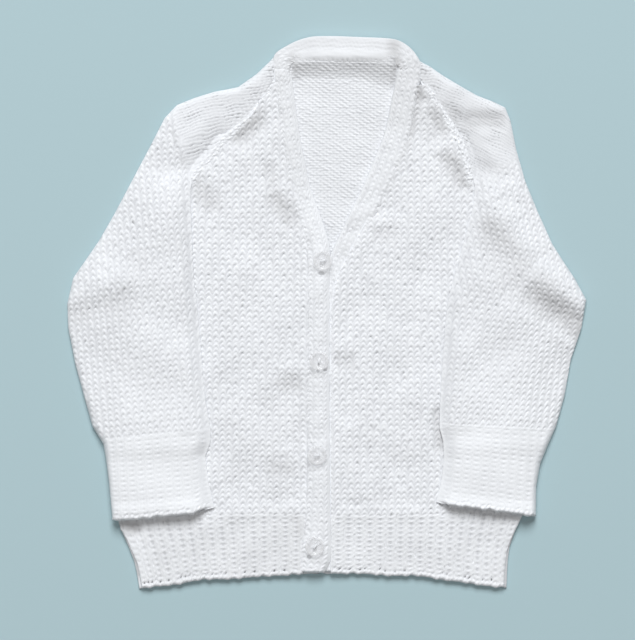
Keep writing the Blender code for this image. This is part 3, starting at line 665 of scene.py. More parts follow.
class Shell:
    """Points, triangles and stitch depths of one piece, gathered patch by patch."""

    def __init__(self, place):
        self.place = place
        self.points = []
        self.depths = []
        self.shades = []
        self.triangles = []
        self.count = 0
        x, y = place(np.array([0.0, 1.0, 0.0]), np.array([0.0, 0.0, 1.0]))
        turn = (x[1] - x[0]) * (y[2] - y[0]) - (x[2] - x[0]) * (y[1] - y[0])
        self.flip = bool(turn < 0.0)

    def add_faces(self, triangles, flip):
        """Keeps triangles, turned over where flip or the place function turns them."""
        self.triangles.append(triangles[:, ::-1] if flip != self.flip else triangles)

    def patch(self, rows, columns, limits, surface, zones=None, flip=False, shade=None):
        """A lattice of rows by columns, drawn in to the piece's outline at both sides.

        limits gives, for each row, where the outline cuts it: columns beyond it share one
        point on it. surface gives height and stitch depth at (x, y, a, b). zones, if given,
        is a list of (row value, column numbers): rows below that value use those columns
        only. shade, if given, is the cloth's soft shade at (x, y). Returns the patch's four
        sides as chains.
        """
        count = len(columns)
        low, high = limits(rows)
        high = np.maximum(high, low + 0.02)
        first = np.maximum((columns[None, :] <= low[:, None]).sum(axis=1) - 1, 0)
        last = np.minimum(count - (columns[None, :] >= high[:, None]).sum(axis=1), count - 1)
        last = np.maximum(last, first + 1)
        a = np.clip(columns[None, :], low[:, None], high[:, None])
        b = np.broadcast_to(rows[:, None], a.shape)
        x, y = self.place(a, b)
        z, depth = surface(x, y, a, b)
        within = np.clip(np.arange(count)[None, :], first[:, None], last[:, None])
        ids = self.count + within + count * np.arange(len(rows))[:, None]
        self.points.append(np.stack((x, y, z), axis=-1).reshape(-1, 3))
        self.depths.append(np.broadcast_to(depth, a.shape).ravel())
        self.shades.append((shade(x, y) if shade else np.zeros(a.shape)).ravel())
        self.count += a.size

        zones = zones or [(np.inf, np.arange(count))]
        zone_of = np.searchsorted([value for value, _ in zones], rows, side="right")
        zone_of = np.minimum(zone_of, len(zones) - 1)
        for number, (_, chosen) in enumerate(zones):
            lines = np.flatnonzero(zone_of == number)
            if len(lines) > 1:
                self.add_faces(grid_faces(ids[lines][:, chosen]), flip)

        def row_chain(line):
            chosen = zones[zone_of[line]][1]
            return a[line, chosen], ids[line, chosen]

        for line in np.flatnonzero(np.diff(zone_of)):
            self.add_faces(zip_chains(row_chain(line), row_chain(line + 1)), flip)
        return {
            "left": (rows, ids[:, 0]),
            "right": (rows, ids[:, -1]),
            "first": row_chain(0),
            "last": row_chain(len(rows) - 1),
        }

    def close(self, top, under, flip=False, open_end=False):
        """Strips round the sides, from the patch below to the patch above."""
        self.add_faces(zip_chains(under["left"], top["left"]), not flip)
        self.add_faces(zip_chains(under["right"], top["right"]), flip)
        self.add_faces(zip_chains(top["last"], under["last"]), flip)
        if not open_end:
            self.add_faces(zip_chains(under["first"], top["first"]), flip)

    def layers(self, rows, columns, limits, top, under, steps, zones=None, shade=None):
        """A whole closed shell: its upper face, and below it a face that keeps only every
        so many-th of the rows and columns, as steps says."""
        upper = self.patch(rows, columns, limits, top, zones, shade=shade)
        rows = rows[take_every(len(rows), steps[0])]
        coarse = [(np.inf, take_every(len(columns), steps[1]))]
        self.close(upper, self.patch(rows, columns, limits, under, coarse, flip=True))

    def ring(self, top, under, inner_top, inner_under):
        """The rim of an open end, between the outer patches and the inner ones."""
        self.add_faces(zip_chains(inner_top["first"], top["first"]), False)
        self.add_faces(zip_chains(under["first"], inner_under["first"]), False)
        for end, flip in ((0, False), (-1, True)):
            outer_low, inner_low = under["first"][1][end], inner_under["first"][1][end]
            outer_high, inner_high = top["first"][1][end], inner_top["first"][1][end]
            corner = np.array([[outer_low, inner_low, inner_high],
                               [outer_low, inner_high, outer_high]])
            self.add_faces(corner, flip)

    def build(self, name, look):
        """The mesh, without unused points and flat triangles, as an object at the origin."""
        points = np.vstack(self.points) * MM
        depths, shades = np.concatenate(self.depths), np.concatenate(self.shades)
        faces = np.vstack(self.triangles)
        proper = (faces[:, 0] != faces[:, 1]) & (faces[:, 1] != faces[:, 2])
        faces = faces[proper & (faces[:, 0] != faces[:, 2])]
        used, faces = np.unique(faces, return_inverse=True)
        values = {"knit_depth": depths[used], "knit_shade": shades[used]}
        return add_mesh(name, points[used], faces.reshape(-1, 3), look, values)


def grid_faces(ids):
    """Two triangles for each cell of a grid of point numbers."""
    corners = (ids[:-1, :-1], ids[:-1, 1:], ids[1:, 1:], ids[1:, :-1])
    one, two, three, four = (corner.ravel() for corner in corners)
    return np.vstack((np.column_stack((one, two, three)), np.column_stack((one, three, four))))


def add_mesh(name, points, faces, look, values=None):
    """A smooth mesh object at the origin from arrays of points and triangles, with named
    values for its points."""
    mesh = bpy.data.meshes.new(name)
    mesh.vertices.add(len(points))
    mesh.vertices.foreach_set("co", np.ascontiguousarray(points, dtype=np.float32).ravel())
    mesh.loops.add(faces.size)
    mesh.loops.foreach_set("vertex_index", np.ascontiguousarray(faces, dtype=np.int32).ravel())
    mesh.polygons.add(len(faces))
    mesh.polygons.foreach_set("loop_start", np.arange(0, faces.size, 3, dtype=np.int32))
    mesh.update(calc_edges=True)
    mesh.validate()
    mesh.shade_smooth()
    for label, numbers in (values or {}).items():
        layer = mesh.attributes.new(label, "FLOAT", "POINT")
        layer.data.foreach_set("value", np.ascontiguousarray(numbers, dtype=np.float32))
    mesh.materials.append(look)
    made = bpy.data.objects.new(name, mesh)
    bpy.context.scene.collection.objects.link(made)
    return made


def limits_of(place, left_x, right_x):
    """Where rows meet an outline: each end walks along its row until its X is the outline's."""
    def limits(rows):
        ends = []
        for edge_x in (left_x, right_x):
            a = np.zeros(len(rows))
            for _ in range(40):
                x, y = place(a, rows)
                a = a + 0.9 * np.clip(edge_x(y) - x, -40.0, 40.0)
            ends.append(a)
        return ends
    return limits


def stitch_rows(low, high, pitch, steps):
    """Rows of points, a fixed number to a row of stitches, ending just on high."""
    rows = np.arange(low, high - 0.3 * pitch / steps, pitch / steps)
    return np.append(rows, high)


def take_every(count, step):
    """Every so many-th number below count, and the last one."""
    return np.unique(np.append(np.arange(0, count, step), count - 1))


def coarse_where(columns, hidden, step):
    """Numbers of the columns, only every so many-th of those that are hidden."""
    numbers = np.arange(len(columns))
    kept = ~hidden | (numbers % step == 0) | (numbers == len(columns) - 1)
    return numbers[kept]


# ================================================================ body pieces
def side_x(y, side):
    """X of the side seam or raglan line on the wearer's right or left."""
    return read(SIDES, y, 1 if side == "right" else 2)


def hem_shift(x, y):
    """How far a row is moved in Y to follow the hem's curve and its small waves, fading out
    up the welt."""
    ragged = 0.6 * swell(x, 0.0 * x, 91, 5.5) * smoothstep(HEM_Y + 7.0, HEM_Y, y)
    return (read(HEM, x) - HEM_Y) * smoothstep(WELT_TOP_Y, HEM_Y, y) + ragged


def bands_meet(y):
    """1 where the two front bands lie on each other, 0 up the V slopes."""
    return 1.0 - smoothstep(30.0, 62.0, y)


def body_place(a, b):
    """A body piece's lattice: wales run up, rows wave a little, and the welt follows the hem
    and draws in with the side seams, most near them."""
    draw_right = side_x(b, "right") - side_x(WELT_TOP_Y, "right")
    draw_left = side_x(b, "left") - side_x(WELT_TOP_Y, "left")
    near = np.clip(np.abs(a) / 108.0, 0.0, 1.1) ** 2.5
    draw = np.where(a < 0.0, draw_right, draw_left) * near * (b < WELT_TOP_Y)
    x = a + draw + 0.5 * np.sin(b / 23.0) * np.cos(a / 31.0)
    y = b + hem_shift(x, b) + 0.45 * np.sin(a / 17.0 + b / 41.0) * smoothstep(-138, -100, b)
    return x, y


def body_knit(knit, seed):
    """Stitch height of a body piece over its lattice: rib in the welt, stocking stitch above."""
    stitch, row = knit.stitch_width / MM, knit.row_height / MM
    rib_width = stitch * RIB_COLUMNS / COLUMN_STEPS
    welt_row = (WELT_TOP_Y - HEM_Y) / WELT_ROWS
    relief, rib_relief = knit.relief / MM, knit.rib_relief / MM

    def heights(a, b):
        above = smoothstep(WELT_TOP_Y - 0.6, WELT_TOP_Y + 0.6, b)
        plain = stocking(a / stitch, (b - WELT_TOP_Y) / row, seed, knit.unevenness)
        v = (b - HEM_Y) / welt_row
        openness = (1.2 + 1.5 * smoothstep(1.0, 7.0, v)) * smoothstep(116.0, 84.0, np.abs(a))
        ribbed = rib(a / rib_width, v, seed, knit.unevenness,
                     knit_half=0.2, bar_height=0.75, openness=openness, split=0.8)
        edge = beads(a / 2.6, (b - HEM_Y - 1.2) / 1.3, seed, knit.unevenness)
        ribbed = np.maximum(ribbed, 1.15 * edge) - 1.4 * cast_on_pits(a, b - HEM_Y, seed)
        # The relief stops at 0.1: deeper holes and cast-on pits of the welt show only as painted
        # shade, through the stitch depth that darkens the colour.
        lift = np.maximum(ribbed, 0.1) - 0.65
        raised = (plain - 0.6) * relief * above + lift * rib_relief * (1.0 - above)
        return raised, plain * above + ribbed * (1.0 - above)

    return heights


def body_rows(knit, top):
    """Rows of points of a body piece, from the hem's edge to its top."""
    welt = np.linspace(HEM_Y, WELT_TOP_Y, WELT_ROWS * ROW_STEPS + 1)[:-1]
    return np.concatenate((welt, stitch_rows(WELT_TOP_Y, top, knit.row_height / MM, ROW_STEPS)))


def make_front(knit, side, look):
    """A front: from its side seam and raglan line to the band, lying on the back."""
    right = side == "right"
    band, top, lattice_end, covered_x = FRONTS[side]
    seed = knit.seed + (10 if right else 20)
    step = knit.stitch_width / MM / COLUMN_STEPS
    heights = body_knit(knit, seed)
    shell = Shell(body_place)

    def side_edge(y):
        inset = 1.4 * smoothstep(WELT_TOP_Y, HEM_Y, y)
        return side_x(y, side) + (inset if right else -inset)

    def band_edge(y):
        seam = read(band, y, 1)
        if right:
            return np.maximum(np.minimum(seam, -9.0) + UNDER_BAND, side_edge(y) + 1.5)
        return np.minimum(seam - UNDER_BAND, side_edge(y) - 1.5)

    left_x, right_x = (side_edge, band_edge) if right else (band_edge, side_edge)
    limits = limits_of(body_place, left_x, right_x)
    side_line = [(float(side_edge(y)), y) for y in np.linspace(-146.0, 27.0, 24)]

    def seam_lift(x, y):
        """How far the front rises to meet its band, where the bands lie on each other."""
        return SEAM_LIFT * smoothstep(10.0, 1.0, np.abs(x - read(band, y, 1))) * bands_meet(y)

    def top_surface(x, y, a, b):
        clear = smoothstep(2.0, 9.0, np.abs(x - side_x(y, side)))
        base = FRONT_TOP + ridges(PUFFS, x, y) - 0.6 * clear * ridges(HOLLOWS, x, y)
        base = base + seam_lift(x, y)
        base = base + 0.28 * swell(x, y, seed, 26.0) * smoothstep(-138, -120, y)
        base = np.maximum(base, FRONT_Z + 0.7)
        stitches, depth = heights(a, b)
        away = np.minimum(distance_to(side_line, x, y), b - HEM_Y)
        edge = roll(away, 1.6)
        low = FRONT_Z + 0.9
        return low + (base + stitches - low) * edge, depth

    def shade(x, y):
        """The hollows' shade, and the shade beside the band up the V slope and in the welt."""
        beside = smoothstep(5.0, 0.5, np.abs(x - read(band, y, 1))) * (1.0 - bands_meet(y))
        welt = smoothstep(WELT_TOP_Y + 4.0, WELT_TOP_Y - 10.0, y)
        beside = beside * (0.08 if right else 0.15 + 0.25 * smoothstep(80.0, 100.0, y))
        welt = welt * (0.16 * smoothstep(-104.0, -84.0, x) if right else 0.1)
        return 0.32 * ridges(HOLLOWS, x, y) + beside + welt

    def under_surface(x, y, a, b):
        puffed = ridges(PUFFS, x, y) * 0.7 + seam_lift(x, y) * 0.8
        return FRONT_Z + puffed * smoothstep(0.0, 3.0, b - HEM_Y), plain_depth(x)

    most = FRONT_STITCHES * COLUMN_STEPS
    columns = np.arange(-most, most + 1) * step
    columns = columns[columns < lattice_end if right else columns > lattice_end]
    hidden = columns < covered_x if right else columns > covered_x
    zones = [(BELOW_CUFFS_Y, np.arange(len(columns))),
             (np.inf, coarse_where(columns, hidden, COLUMN_STEPS))]
    shell.layers(body_rows(knit, top), columns, limits, top_surface, under_surface,
                 (2 * ROW_STEPS, COLUMN_STEPS), zones, shade)
    return shell.build(f"knit_front_{side}", look)


def make_back(knit, look):
    """The back: its right side down, its purl side showing inside the neck."""
    seed = knit.seed + 30
    stitch, row = knit.stitch_width / MM, knit.row_height / MM
    heights = body_knit(knit, seed)
    shell = Shell(body_place)

    def left_x(y):
        return side_x(y, "right")

    def right_x(y):
        return side_x(y, "left")

    limits = limits_of(body_place, left_x, right_x)

    def under_surface(x, y, a, b):
        stitches, depth = heights(-a, b)
        pit = 0.75 * knit.relief / MM * (1.0 - np.clip(depth, 0.0, 1.0))
        return pit, depth

    def under_neckband_share(x, y):
        """From 0 out in the back to 1 at the neckband's inner edge, between the bands."""
        edge = np.interp(x, *np.array(NECKBAND).T[2:4])
        reach = 8.5 + 4.0 * smoothstep(18.0, 32.0, x)
        between = smoothstep(-21.0, -16.5, x) * smoothstep(39.5, 35.0, x)
        return np.clip((y - edge + reach) / reach, 0.0, 1.0) * between

    def top_surface(x, y, a, b):
        inside = smoothstep(16.0, 22.0, b)
        depth = purl(a / stitch, (b - UNDERARM_Y) / (0.47 * row), seed, knit.unevenness)
        puff = 0.25 * swell(x, y, seed, 24.0)
        height = CLOTH + inside * ((depth - 0.65) * 0.38 + puff)
        near = under_neckband_share(x, y)
        height = height + 3.5 * near ** 1.3 - 0.4 * (b < HEM_Y + 0.01)
        return height, np.where(inside > 0.5, depth, PLAIN_DEPTH)

    def shade(x, y):
        """The shade under the neckband, a little of it all over the neck."""
        near = smoothstep(0.0, 0.7, under_neckband_share(x, y))
        return 0.07 + np.maximum(0.25 * near, ridges(NECK_SHADES, x, y))

    under_step = stitch / 4
    count = int(BACK_HALF / under_step)
    under_columns = np.arange(-count, count + 1) * under_step
    under_rows = np.concatenate((
        np.linspace(HEM_Y, WELT_TOP_Y, WELT_ROWS * 3 + 1)[:-1],
        stitch_rows(WELT_TOP_Y, NECK_Y + 1.9, row, 2),
    ))
    under = shell.patch(under_rows, under_columns, limits, under_surface, flip=True)

    top_step = stitch / 8
    count = int(BACK_HALF / top_step)
    top_columns = np.arange(-count, count + 1) * top_step
    top_rows = np.concatenate((
        np.array([HEM_Y, HEM_Y + 0.6]), np.linspace(HEM_Y + 2.0, 16.0, 30),
        stitch_rows(18.0, NECK_Y + 1.9, 0.94 * row, 8),
    ))
    zones = []
    for top, low, high in BACK_ZONES:
        hidden = (top_columns < low) | (top_columns > high)
        zones.append((top, coarse_where(top_columns, hidden, 12)))
    upper = shell.patch(top_rows, top_columns, limits, top_surface, zones, shade=shade)
    shell.close(upper, under)
    return shell.build("knit_back", look)


# ================================================================ sleeves
def cap_strands(side, x, y):
    """Over the shoulder: t, which counts the strands, and s, which counts along them.

    The strands are curves Y = f, STRAND_WIDTH apart, and d is the distance in X from the fold
    or the inner edge. On the right, f's slope goes from one value by the fold to another by
    the raglan seam: f = bend * 14 * (1 - exp(-d / 14)) + 0.1 * d. On the left, f falls by
    0.42 * d, more from 14 mm on, and waves a little lower down.
    """
    if side == "right":
        d = np.clip(x + 84.0, 0.0, None)
        bend = 0.45 * smoothstep(66.0, 104.0, y) + 0.12
        f = bend * 14.0 * (1.0 - np.exp(-d / 14.0)) + 0.1 * d
    else:
        d = np.clip(x - 56.0, 0.0, None)
        f = -0.42 * d - 0.1 * (d - 14.0) * smoothstep(14.0, 30.0, d)
        f = f + 0.75 * np.sin(d / 3.6 + y / 9.0) * smoothstep(100.0, 88.0, y)
    wander = 0.25 * swell(x, y, 17, 11.0) + 0.1 * swell(x, y, 18, 4.0)
    return (y - f) / STRAND_WIDTH + wander, x / STRAND_BEAD


def cap_rise(side, x, y):
    """Y measured from a slanting line, above which a sleeve's stitches are strained."""
    return y + (0.25 * (x + 73.0) if side == "right" else -0.55 * (x - 80.0))


def sleeve_stitches(knit, side, seed, cuff_top):
    """Stitch height over a sleeve at (x, y, a, b).

    Down the sleeve its stitches follow the lattice. Over the shoulder they are strained into
    strands that run towards the neck, and turn bumpy by the raglan seam.
    """
    stitch, row = knit.sleeve_stitch / MM, knit.sleeve_row / MM
    relief, rib_relief = knit.relief / MM, knit.rib_relief / MM
    rib_width = stitch * CUFF_RIB_COLUMNS / COLUMN_STEPS
    uneven = knit.unevenness
    skew, least_bumps = (0.0, 0.2) if side == "right" else (0.35, 0.08)

    def strained(x, y):
        """From 0 down the sleeve to 1 over the shoulder."""
        if side == "left":
            return smoothstep(62.0, 78.0, cap_rise(side, x, y))
        x0, y0, x1, y1 = SHOULDER_FOLD
        beside = (x - x0) * (y0 - y1) - (y0 - y) * (x1 - x0)
        beside = beside / np.hypot(x1 - x0, y1 - y0)
        return smoothstep(-4.0, 4.5, beside) * smoothstep(66.0, 78.0, cap_rise(side, x, y))

    def heights(x, y, a, b):
        plain = stocking(a / stitch, (b - cuff_top) / row, seed, uneven, skew)
        cap = strained(x, y)
        t, along = cap_strands(side, x, y)
        near = smoothstep(11.0, 2.0, np.abs(x - side_x(y, side)))
        drawn = strands(t, along, seed + 1, uneven, 0.3 * near + least_bumps)
        strong = 0.65 + 0.2 * swell(x, y, seed + 2, 12.0)
        plain = blend(plain, 0.8 - strong + strong * drawn, cap)
        above = smoothstep(cuff_top - 0.6, cuff_top + 0.6, b)
        up = b - CUFF_END_Y
        ribbed = rib(a / rib_width, up / CUFF_ROW, seed, uneven,
                     knit_half=0.13, bar_height=0.8, openness=0.4)
        edge = beads(a / 2.55, (up - 1.4) / 1.6, seed, uneven)
        ribbed = np.maximum(ribbed, 1.3 * edge) - 0.7 * cast_on_pits(a, up, seed)
        lift = (plain - 0.6) * relief * above * (1.0 + 0.1 * cap)
        lift = lift + (ribbed - 0.7) * rib_relief * (1.0 - above)
        # Colour only: painted shade in the grooves between the strained strands over the shoulder,
        # painted light lower down the sleeve, and a cuff colour a little lighter.
        painted_light_low_down = smoothstep(0.0, -60.0, b)
        plain = plain - 0.4 * (1.0 - drawn) * cap + 0.3 * painted_light_low_down * (1.0 - plain)
        return lift, plain * above + (ribbed + 0.15) * (1.0 - above)

    return heights


def make_sleeve(knit, side, look):
    """A sleeve: a flattened tube of cloth, open at the cuff, over the side of its front."""
    right = side == "right"
    seed = knit.seed + (40 if right else 50)
    stitch, row = knit.sleeve_stitch / MM, knit.sleeve_row / MM
    step = stitch / COLUMN_STEPS
    outer, inner, wale, fall, cuff_line, cuff_top, reaches = SLEEVES[side]
    heights = sleeve_stitches(knit, side, seed, cuff_top)

    def place(a, b):
        """Wales run beside the given one, rows fall to the right, and the cuff's last rows
        follow its edge."""
        x = read(wale, b) + a
        y = b - read(fall, b) * a
        end = CUFF_END_Y - read(fall, CUFF_END_Y) * a
        ragged = 0.35 * swell(x, 0.0 * x, 93, 5.5) * smoothstep(CUFF_END_Y + 7.0, CUFF_END_Y, b)
        return x, y + (read(cuff_line, x) - end) * smoothstep(cuff_top, CUFF_END_Y, b) + ragged

    def outer_x(y):
        return read(outer, y)

    def inner_x(y):
        return read(inner, y)

    left_x, right_x = (outer_x, inner_x) if right else (inner_x, outer_x)
    limits = limits_of(place, left_x, right_x)
    shell = Shell(place)
    tip_y, tip_x = outer[-1]
    top_row = tip_y + read(fall, tip_y) * (tip_x - read(wale, tip_y))
    outer_line = [(x, y) for y, x in outer]
    fold_line = [(x, y) for y, x in inner if y < 92.0]

    def beyond(x, y):
        """Distance outside the body's side seam, negative over the body."""
        edge = side_x(np.minimum(y, UNDERARM_Y), side)
        return edge - x if right else x - edge

    def share_out(x, y):
        """From 0 at the inner edge to 1 at the outer fold."""
        return np.clip((x - inner_x(y)) / (outer_x(y) - inner_x(y)), 0.0, 1.0)

    def below_shoulder(y):
        """From 1 where the sleeve lies over its front to 0 where it is sewn to it."""
        return smoothstep(81.0, 66.0, y)

    def sewn(y):
        """From 0 down the sleeve to 1 along the raglan seam."""
        return smoothstep(58.0, 70.0, y)

    def rim(b):
        """Share of the thickness near the cuff's cast-on edge."""
        return 0.4 + 0.6 * roll(b - CUFF_END_Y, 1.3)

    def floor_height(x, y):
        """Height of the sleeve's lowest face: down outside the body, up on the front over it."""
        reach = 9.0 - 6.0 * smoothstep(UNDERARM_Y - 9.0, UNDERARM_Y + 6.0, y)
        edge = side_x(y, side)
        away = edge - x if right else x - edge
        return SLEEVE_Z * (1.0 - smoothstep(0.6, reach, away)) * below_shoulder(y)

    def top_height(x, y):
        """Height of the upper layer's outer face, without its stitches."""
        away, out = beyond(x, y), share_out(x, y)
        low = 1.0 - smoothstep(-5.0, 26.0, away)
        high = 1.0 - smoothstep(0.15, 0.95, out)
        part = smoothstep(15.0, 32.0, y)
        reach = blend(low, high, part) * smoothstep(81.0, 65.0, y)
        air = SLEEVE_AIR * np.sin(np.pi * out) ** 0.8 * (1.0 - 0.5 * smoothstep(62.0, 78.0, y))
        base = CLOTH * 2.0 + FOLD_SLIT + SLEEVE_Z * reach + air
        cap = smoothstep(68.0, 84.0, y)
        base = blend(base, FRONT_TOP + air, cap)
        base = base + ridges(SLEEVE_PUFFS, x, y) - ridges(CREASES, x, y)
        return np.maximum(base + 0.3 * swell(x, y, seed, 28.0), floor_height(x, y) + 3.3)

    def inner_fold(x, y):
        """Distance from the inner edge, where the sleeve is pressed on to the front."""
        return distance_to(fold_line, x, y)

    def top_surface(x, y, a, b):
        base, low = top_height(x, y), floor_height(x, y)
        if right:
            along, beside = line_parts(SHOULDER_FOLD, x, y)
            base = base + 0.9 * smoothstep(3.4, 0.0, beside) * np.sin(np.pi * along) ** 0.5
        stitches, depth = heights(x, y, a, b)
        fold = inner_fold(x, y)
        pressed = smoothstep(7.0, 0.0, fold)
        over_front = SLEEVE_Z * below_shoulder(y) * smoothstep(16.0, 6.0, fold)
        middle = np.maximum(low, over_front) + 1.9 - 1.65 * pressed
        middle = np.maximum(middle, (FRONT_TOP - 0.1) * pressed)
        reach = 8.5 + 6.0 * sewn(y)
        share = roll(distance_to(outer_line, x, y), 3.4) * smoothstep(-0.6, reach, fold) * rim(b)
        calm = pressed * smoothstep(CUFF_END_Y + 6.0, CUFF_END_Y, b)
        stitches = stitches * (0.35 + 0.65 * np.maximum(share, sewn(y))) * (1.0 - calm)
        z = middle + (base - middle) * share + stitches
        return np.maximum(z, low + 2.1 - 1.85 * pressed), depth

    def under_surface(x, y, a, b):
        low = floor_height(x, y)
        stitches, depth = heights(x, y, a, b)
        outside = smoothstep(2.6, 0.4, low)
        pit = 0.6 * knit.relief / MM * (1.0 - np.clip(depth, 0.0, 1.0)) * outside
        rounding = roll(distance_to(outer_line, x, y), 2.6) * rim(b)
        lifted = 1.5 * (1.0 - rounding) * (1.0 - 0.9 * smoothstep(7.0, 2.0, inner_fold(x, y)))
        return low + pit * rounding + lifted, np.where(outside > 0.5, depth, PLAIN_DEPTH)

    def shade(x, y):
        """The shade of the creases and of the strained stitches over the shoulder."""
        cap = smoothstep(62.0, 78.0, cap_rise(side, x, y))
        cap = cap * (0.05 * smoothstep(-84.0, -60.0, x) if right else 0.17)
        return 0.12 * ridges(CREASES, x, y) + ridges(SLEEVE_SHADES, x, y) + cap

    columns = np.arange(int(reaches[0] / step), int(reaches[1] / step) + 1) * step
    cuff_rows = int(round((cuff_top - CUFF_END_Y) / CUFF_ROW)) * ROW_STEPS
    rows = np.concatenate((
        np.linspace(CUFF_END_Y, cuff_top, cuff_rows + 1)[:-1],
        stitch_rows(cuff_top, top_row, row, ROW_STEPS),
    ))
    upper = shell.patch(rows, columns, limits, top_surface, shade=shade)

    half_columns = columns[::2]
    side_at = side_x(0.0, side) - read(wale, 0.0)
    hidden = half_columns > side_at + 14.0 if right else half_columns < side_at - 14.0
    under_rows = rows[take_every(len(rows), 2)]
    under_zones = [(np.inf, coarse_where(half_columns, hidden, 8))]
    under = shell.patch(under_rows, half_columns, limits, under_surface, under_zones, flip=True)
    shell.close(upper, under, open_end=True)

    def pocket_left(y):
        return left_x(y) + (POCKET_OUTER if right else POCKET_INNER)

    def pocket_right(y):
        edge = right_x(y) - (POCKET_INNER if right else POCKET_OUTER)
        return np.maximum(edge, pocket_left(y) + 0.6)

    def pocket_top(x, y, a, b):
        inside = floor_height(x, y) + CLOTH
        high = smoothstep(-0.6, 8.5 + 6.0 * sewn(y), inner_fold(x, y))
        z = inside - CLOTH + (top_height(x, y) - inside) * high
        return np.maximum(z - 0.1, inside + 0.25), plain_depth(x)

    def pocket_under(x, y, a, b):
        return floor_height(x, y) + CLOTH, plain_depth(x)

    pocket_limits = limits_of(place, pocket_left, pocket_right)
    pocket_rows = np.append(CUFF_END_Y, np.arange(CUFF_END_Y + 2.0, POCKET_TOP_Y, 4.0))
    zone = [(np.inf, take_every(len(columns), 8))]
    inner_top = shell.patch(pocket_rows, columns, pocket_limits, pocket_top, zone, flip=True)
    inner_under = shell.patch(pocket_rows, columns, pocket_limits, pocket_under, zone)
    shell.close(inner_top, inner_under, flip=True, open_end=True)
    shell.ring(upper, under, inner_top, inner_under)
    return shell.build(f"knit_sleeve_{side}", look)


# ================================================================ bands
def strip_place(edges):
    """A strip's lattice: a from 0 to its width across, b along it, both in millimetres.

    edges is an array of rows (x, y of one edge, x, y of the other). A point lies on the
    straight line between the two edges, at the same share along both. Returns the lattice's
    place function, its width along b, the limits of its rows and its length.
    """
    middle = 0.5 * (edges[:, :2] + edges[:, 2:])
    run = np.concatenate(([0.0], np.cumsum(np.hypot(*np.diff(middle, axis=0).T))))
    width = np.hypot(edges[:, 2] - edges[:, 0], edges[:, 3] - edges[:, 1])

    def place(a, b):
        one = [np.interp(b, run, edges[:, k]) for k in range(4)]
        share = a / np.interp(b, run, width)
        return one[0] + (one[2] - one[0]) * share, one[1] + (one[3] - one[1]) * share

    def width_at(b):
        return np.interp(b, run, width)

    def limits(rows):
        return np.zeros(len(rows)), width_at(rows)

    return place, width_at, limits, run[-1]


def band_edges(table):
    """Both edges of a front band. Its rows lie square to the band: each end is moved in Y by
    half the width times the band's slope."""
    given = np.array(table, dtype=float)
    y = np.linspace(given[0, 0], given[-1, 0], 90)
    seam, free = (smoothed(read(table, y, side), 3) for side in (1, 2))
    slope = np.gradient(0.5 * (seam + free), y)
    slope = np.convolve(np.pad(slope, 3, mode="edge"), np.full(7, 1.0 / 7.0), mode="valid")
    slope = slope * smoothstep(y[0], y[0] + 20.0, y) * smoothstep(y[-1], y[-1] - 10.0, y)
    shift = 0.5 * (free - seam) * slope
    return np.column_stack((seam, y + shift, free, y - shift))


def band_knit(knit, place, width_at, length, seed, ends):
    """Stitch height of a front band: one ladder of bars between two knit wales that run
    along it, with the picked-up stitches' holes at its seam and a corded free edge. With
    ends, it has a cast-off edge at its start, and the buttonholes: shallow recesses whose
    darkness is painted shade."""
    relief = 0.6 * knit.rib_relief / MM
    uneven = knit.unevenness

    def heights(a, b):
        share, v = a / width_at(b), b / BAND_ROW
        slope = 0.5 * smoothstep(0.45, 0.55, b / length)
        depth = rib((share - BAND_WALE) / BAND_RIB + 0.5, v, seed, uneven,
                    knit_half=0.13, bar_height=0.8, openness=0.3, tilt=slope)
        beside = 0.75 + 0.25 * smoothstep(0.28, 0.2, share) + 0.25 * smoothstep(0.56, 0.62, share)
        knitted = stocking(4.0 * share, v, seed + 12, 1.2 * uneven, slope)
        depth = blend(depth, knitted, beside)
        flat = 0.2 + 0.15 * swell(a, b, seed + 3, 11.0)
        depth = flat + (1.0 - flat) * depth + 0.1 * swell(a, b, seed + 4, 4.0)
        cord = dome((share - 0.95) / 0.08) * (0.85 + 0.12 * np.sin(2.0 * np.pi * v))
        depth = np.maximum(depth, cord)
        pit, luck = pit_line(share, b / (1.5 * BAND_ROW), seed, at=0.04, half=0.05, long=0.3)
        depth = depth - pit * smoothstep(0.5, 1.0, luck)
        if ends:
            depth = np.maximum(depth, beads(a / 2.5, (b - 1.0) / 1.1, seed, uneven))
            x, y = place(a, b)
            # Painted shade: each buttonhole sinks the stitch depth, which darkens the colour there
            # as well as the relief.
            for middle_x, middle_y, long, high, painted_shade_depth in BUTTONHOLES:
                away = ((x - middle_x) / long) ** 2 + ((y - middle_y) / high) ** 2
                depth = depth - (depth + painted_shade_depth) * smoothstep(1.3, 0.5, away)
        return (depth - 0.6) * relief, depth

    return heights


def neckband_knit(knit, place, width_at, length, seed):
    """Stitch height of the neckband: fine lengthwise lines on its outer half, a smooth full
    inner half, and a row of small holes by its inner edge. The lower depth of the outer half
    also greys its colour, as painted shade. At both ends it turns into the front bands' pattern."""
    relief = 0.7 * knit.rib_relief / MM
    band = band_knit(knit, place, width_at, length, seed, False)

    def heights(a, b):
        share = a / width_at(b)
        lines = 0.55 + 0.09 * np.cos(2.0 * np.pi * (share * 6.0 + 0.2 * swell(a, b, seed + 2, 9.0)))
        lines = lines + 0.08 * swell(a, b, seed + 5, 2.6)
        full = 0.8 + 0.06 * swell(a, b, seed + 6, 2.6)
        inner = smoothstep(0.45, 0.6, share)
        pit, luck = pit_line(share, b / 2.6, seed, at=0.93, half=0.06, long=0.24)
        depth = blend(lines, full, inner) - pit * (0.2 + 0.5 * luck)
        end = smoothstep(18.5, 7.5, np.minimum(b, length - b))
        depth = blend(depth, np.maximum(band(a, b)[1], 0.3), end)
        return (depth - 0.6) * relief, depth

    return heights


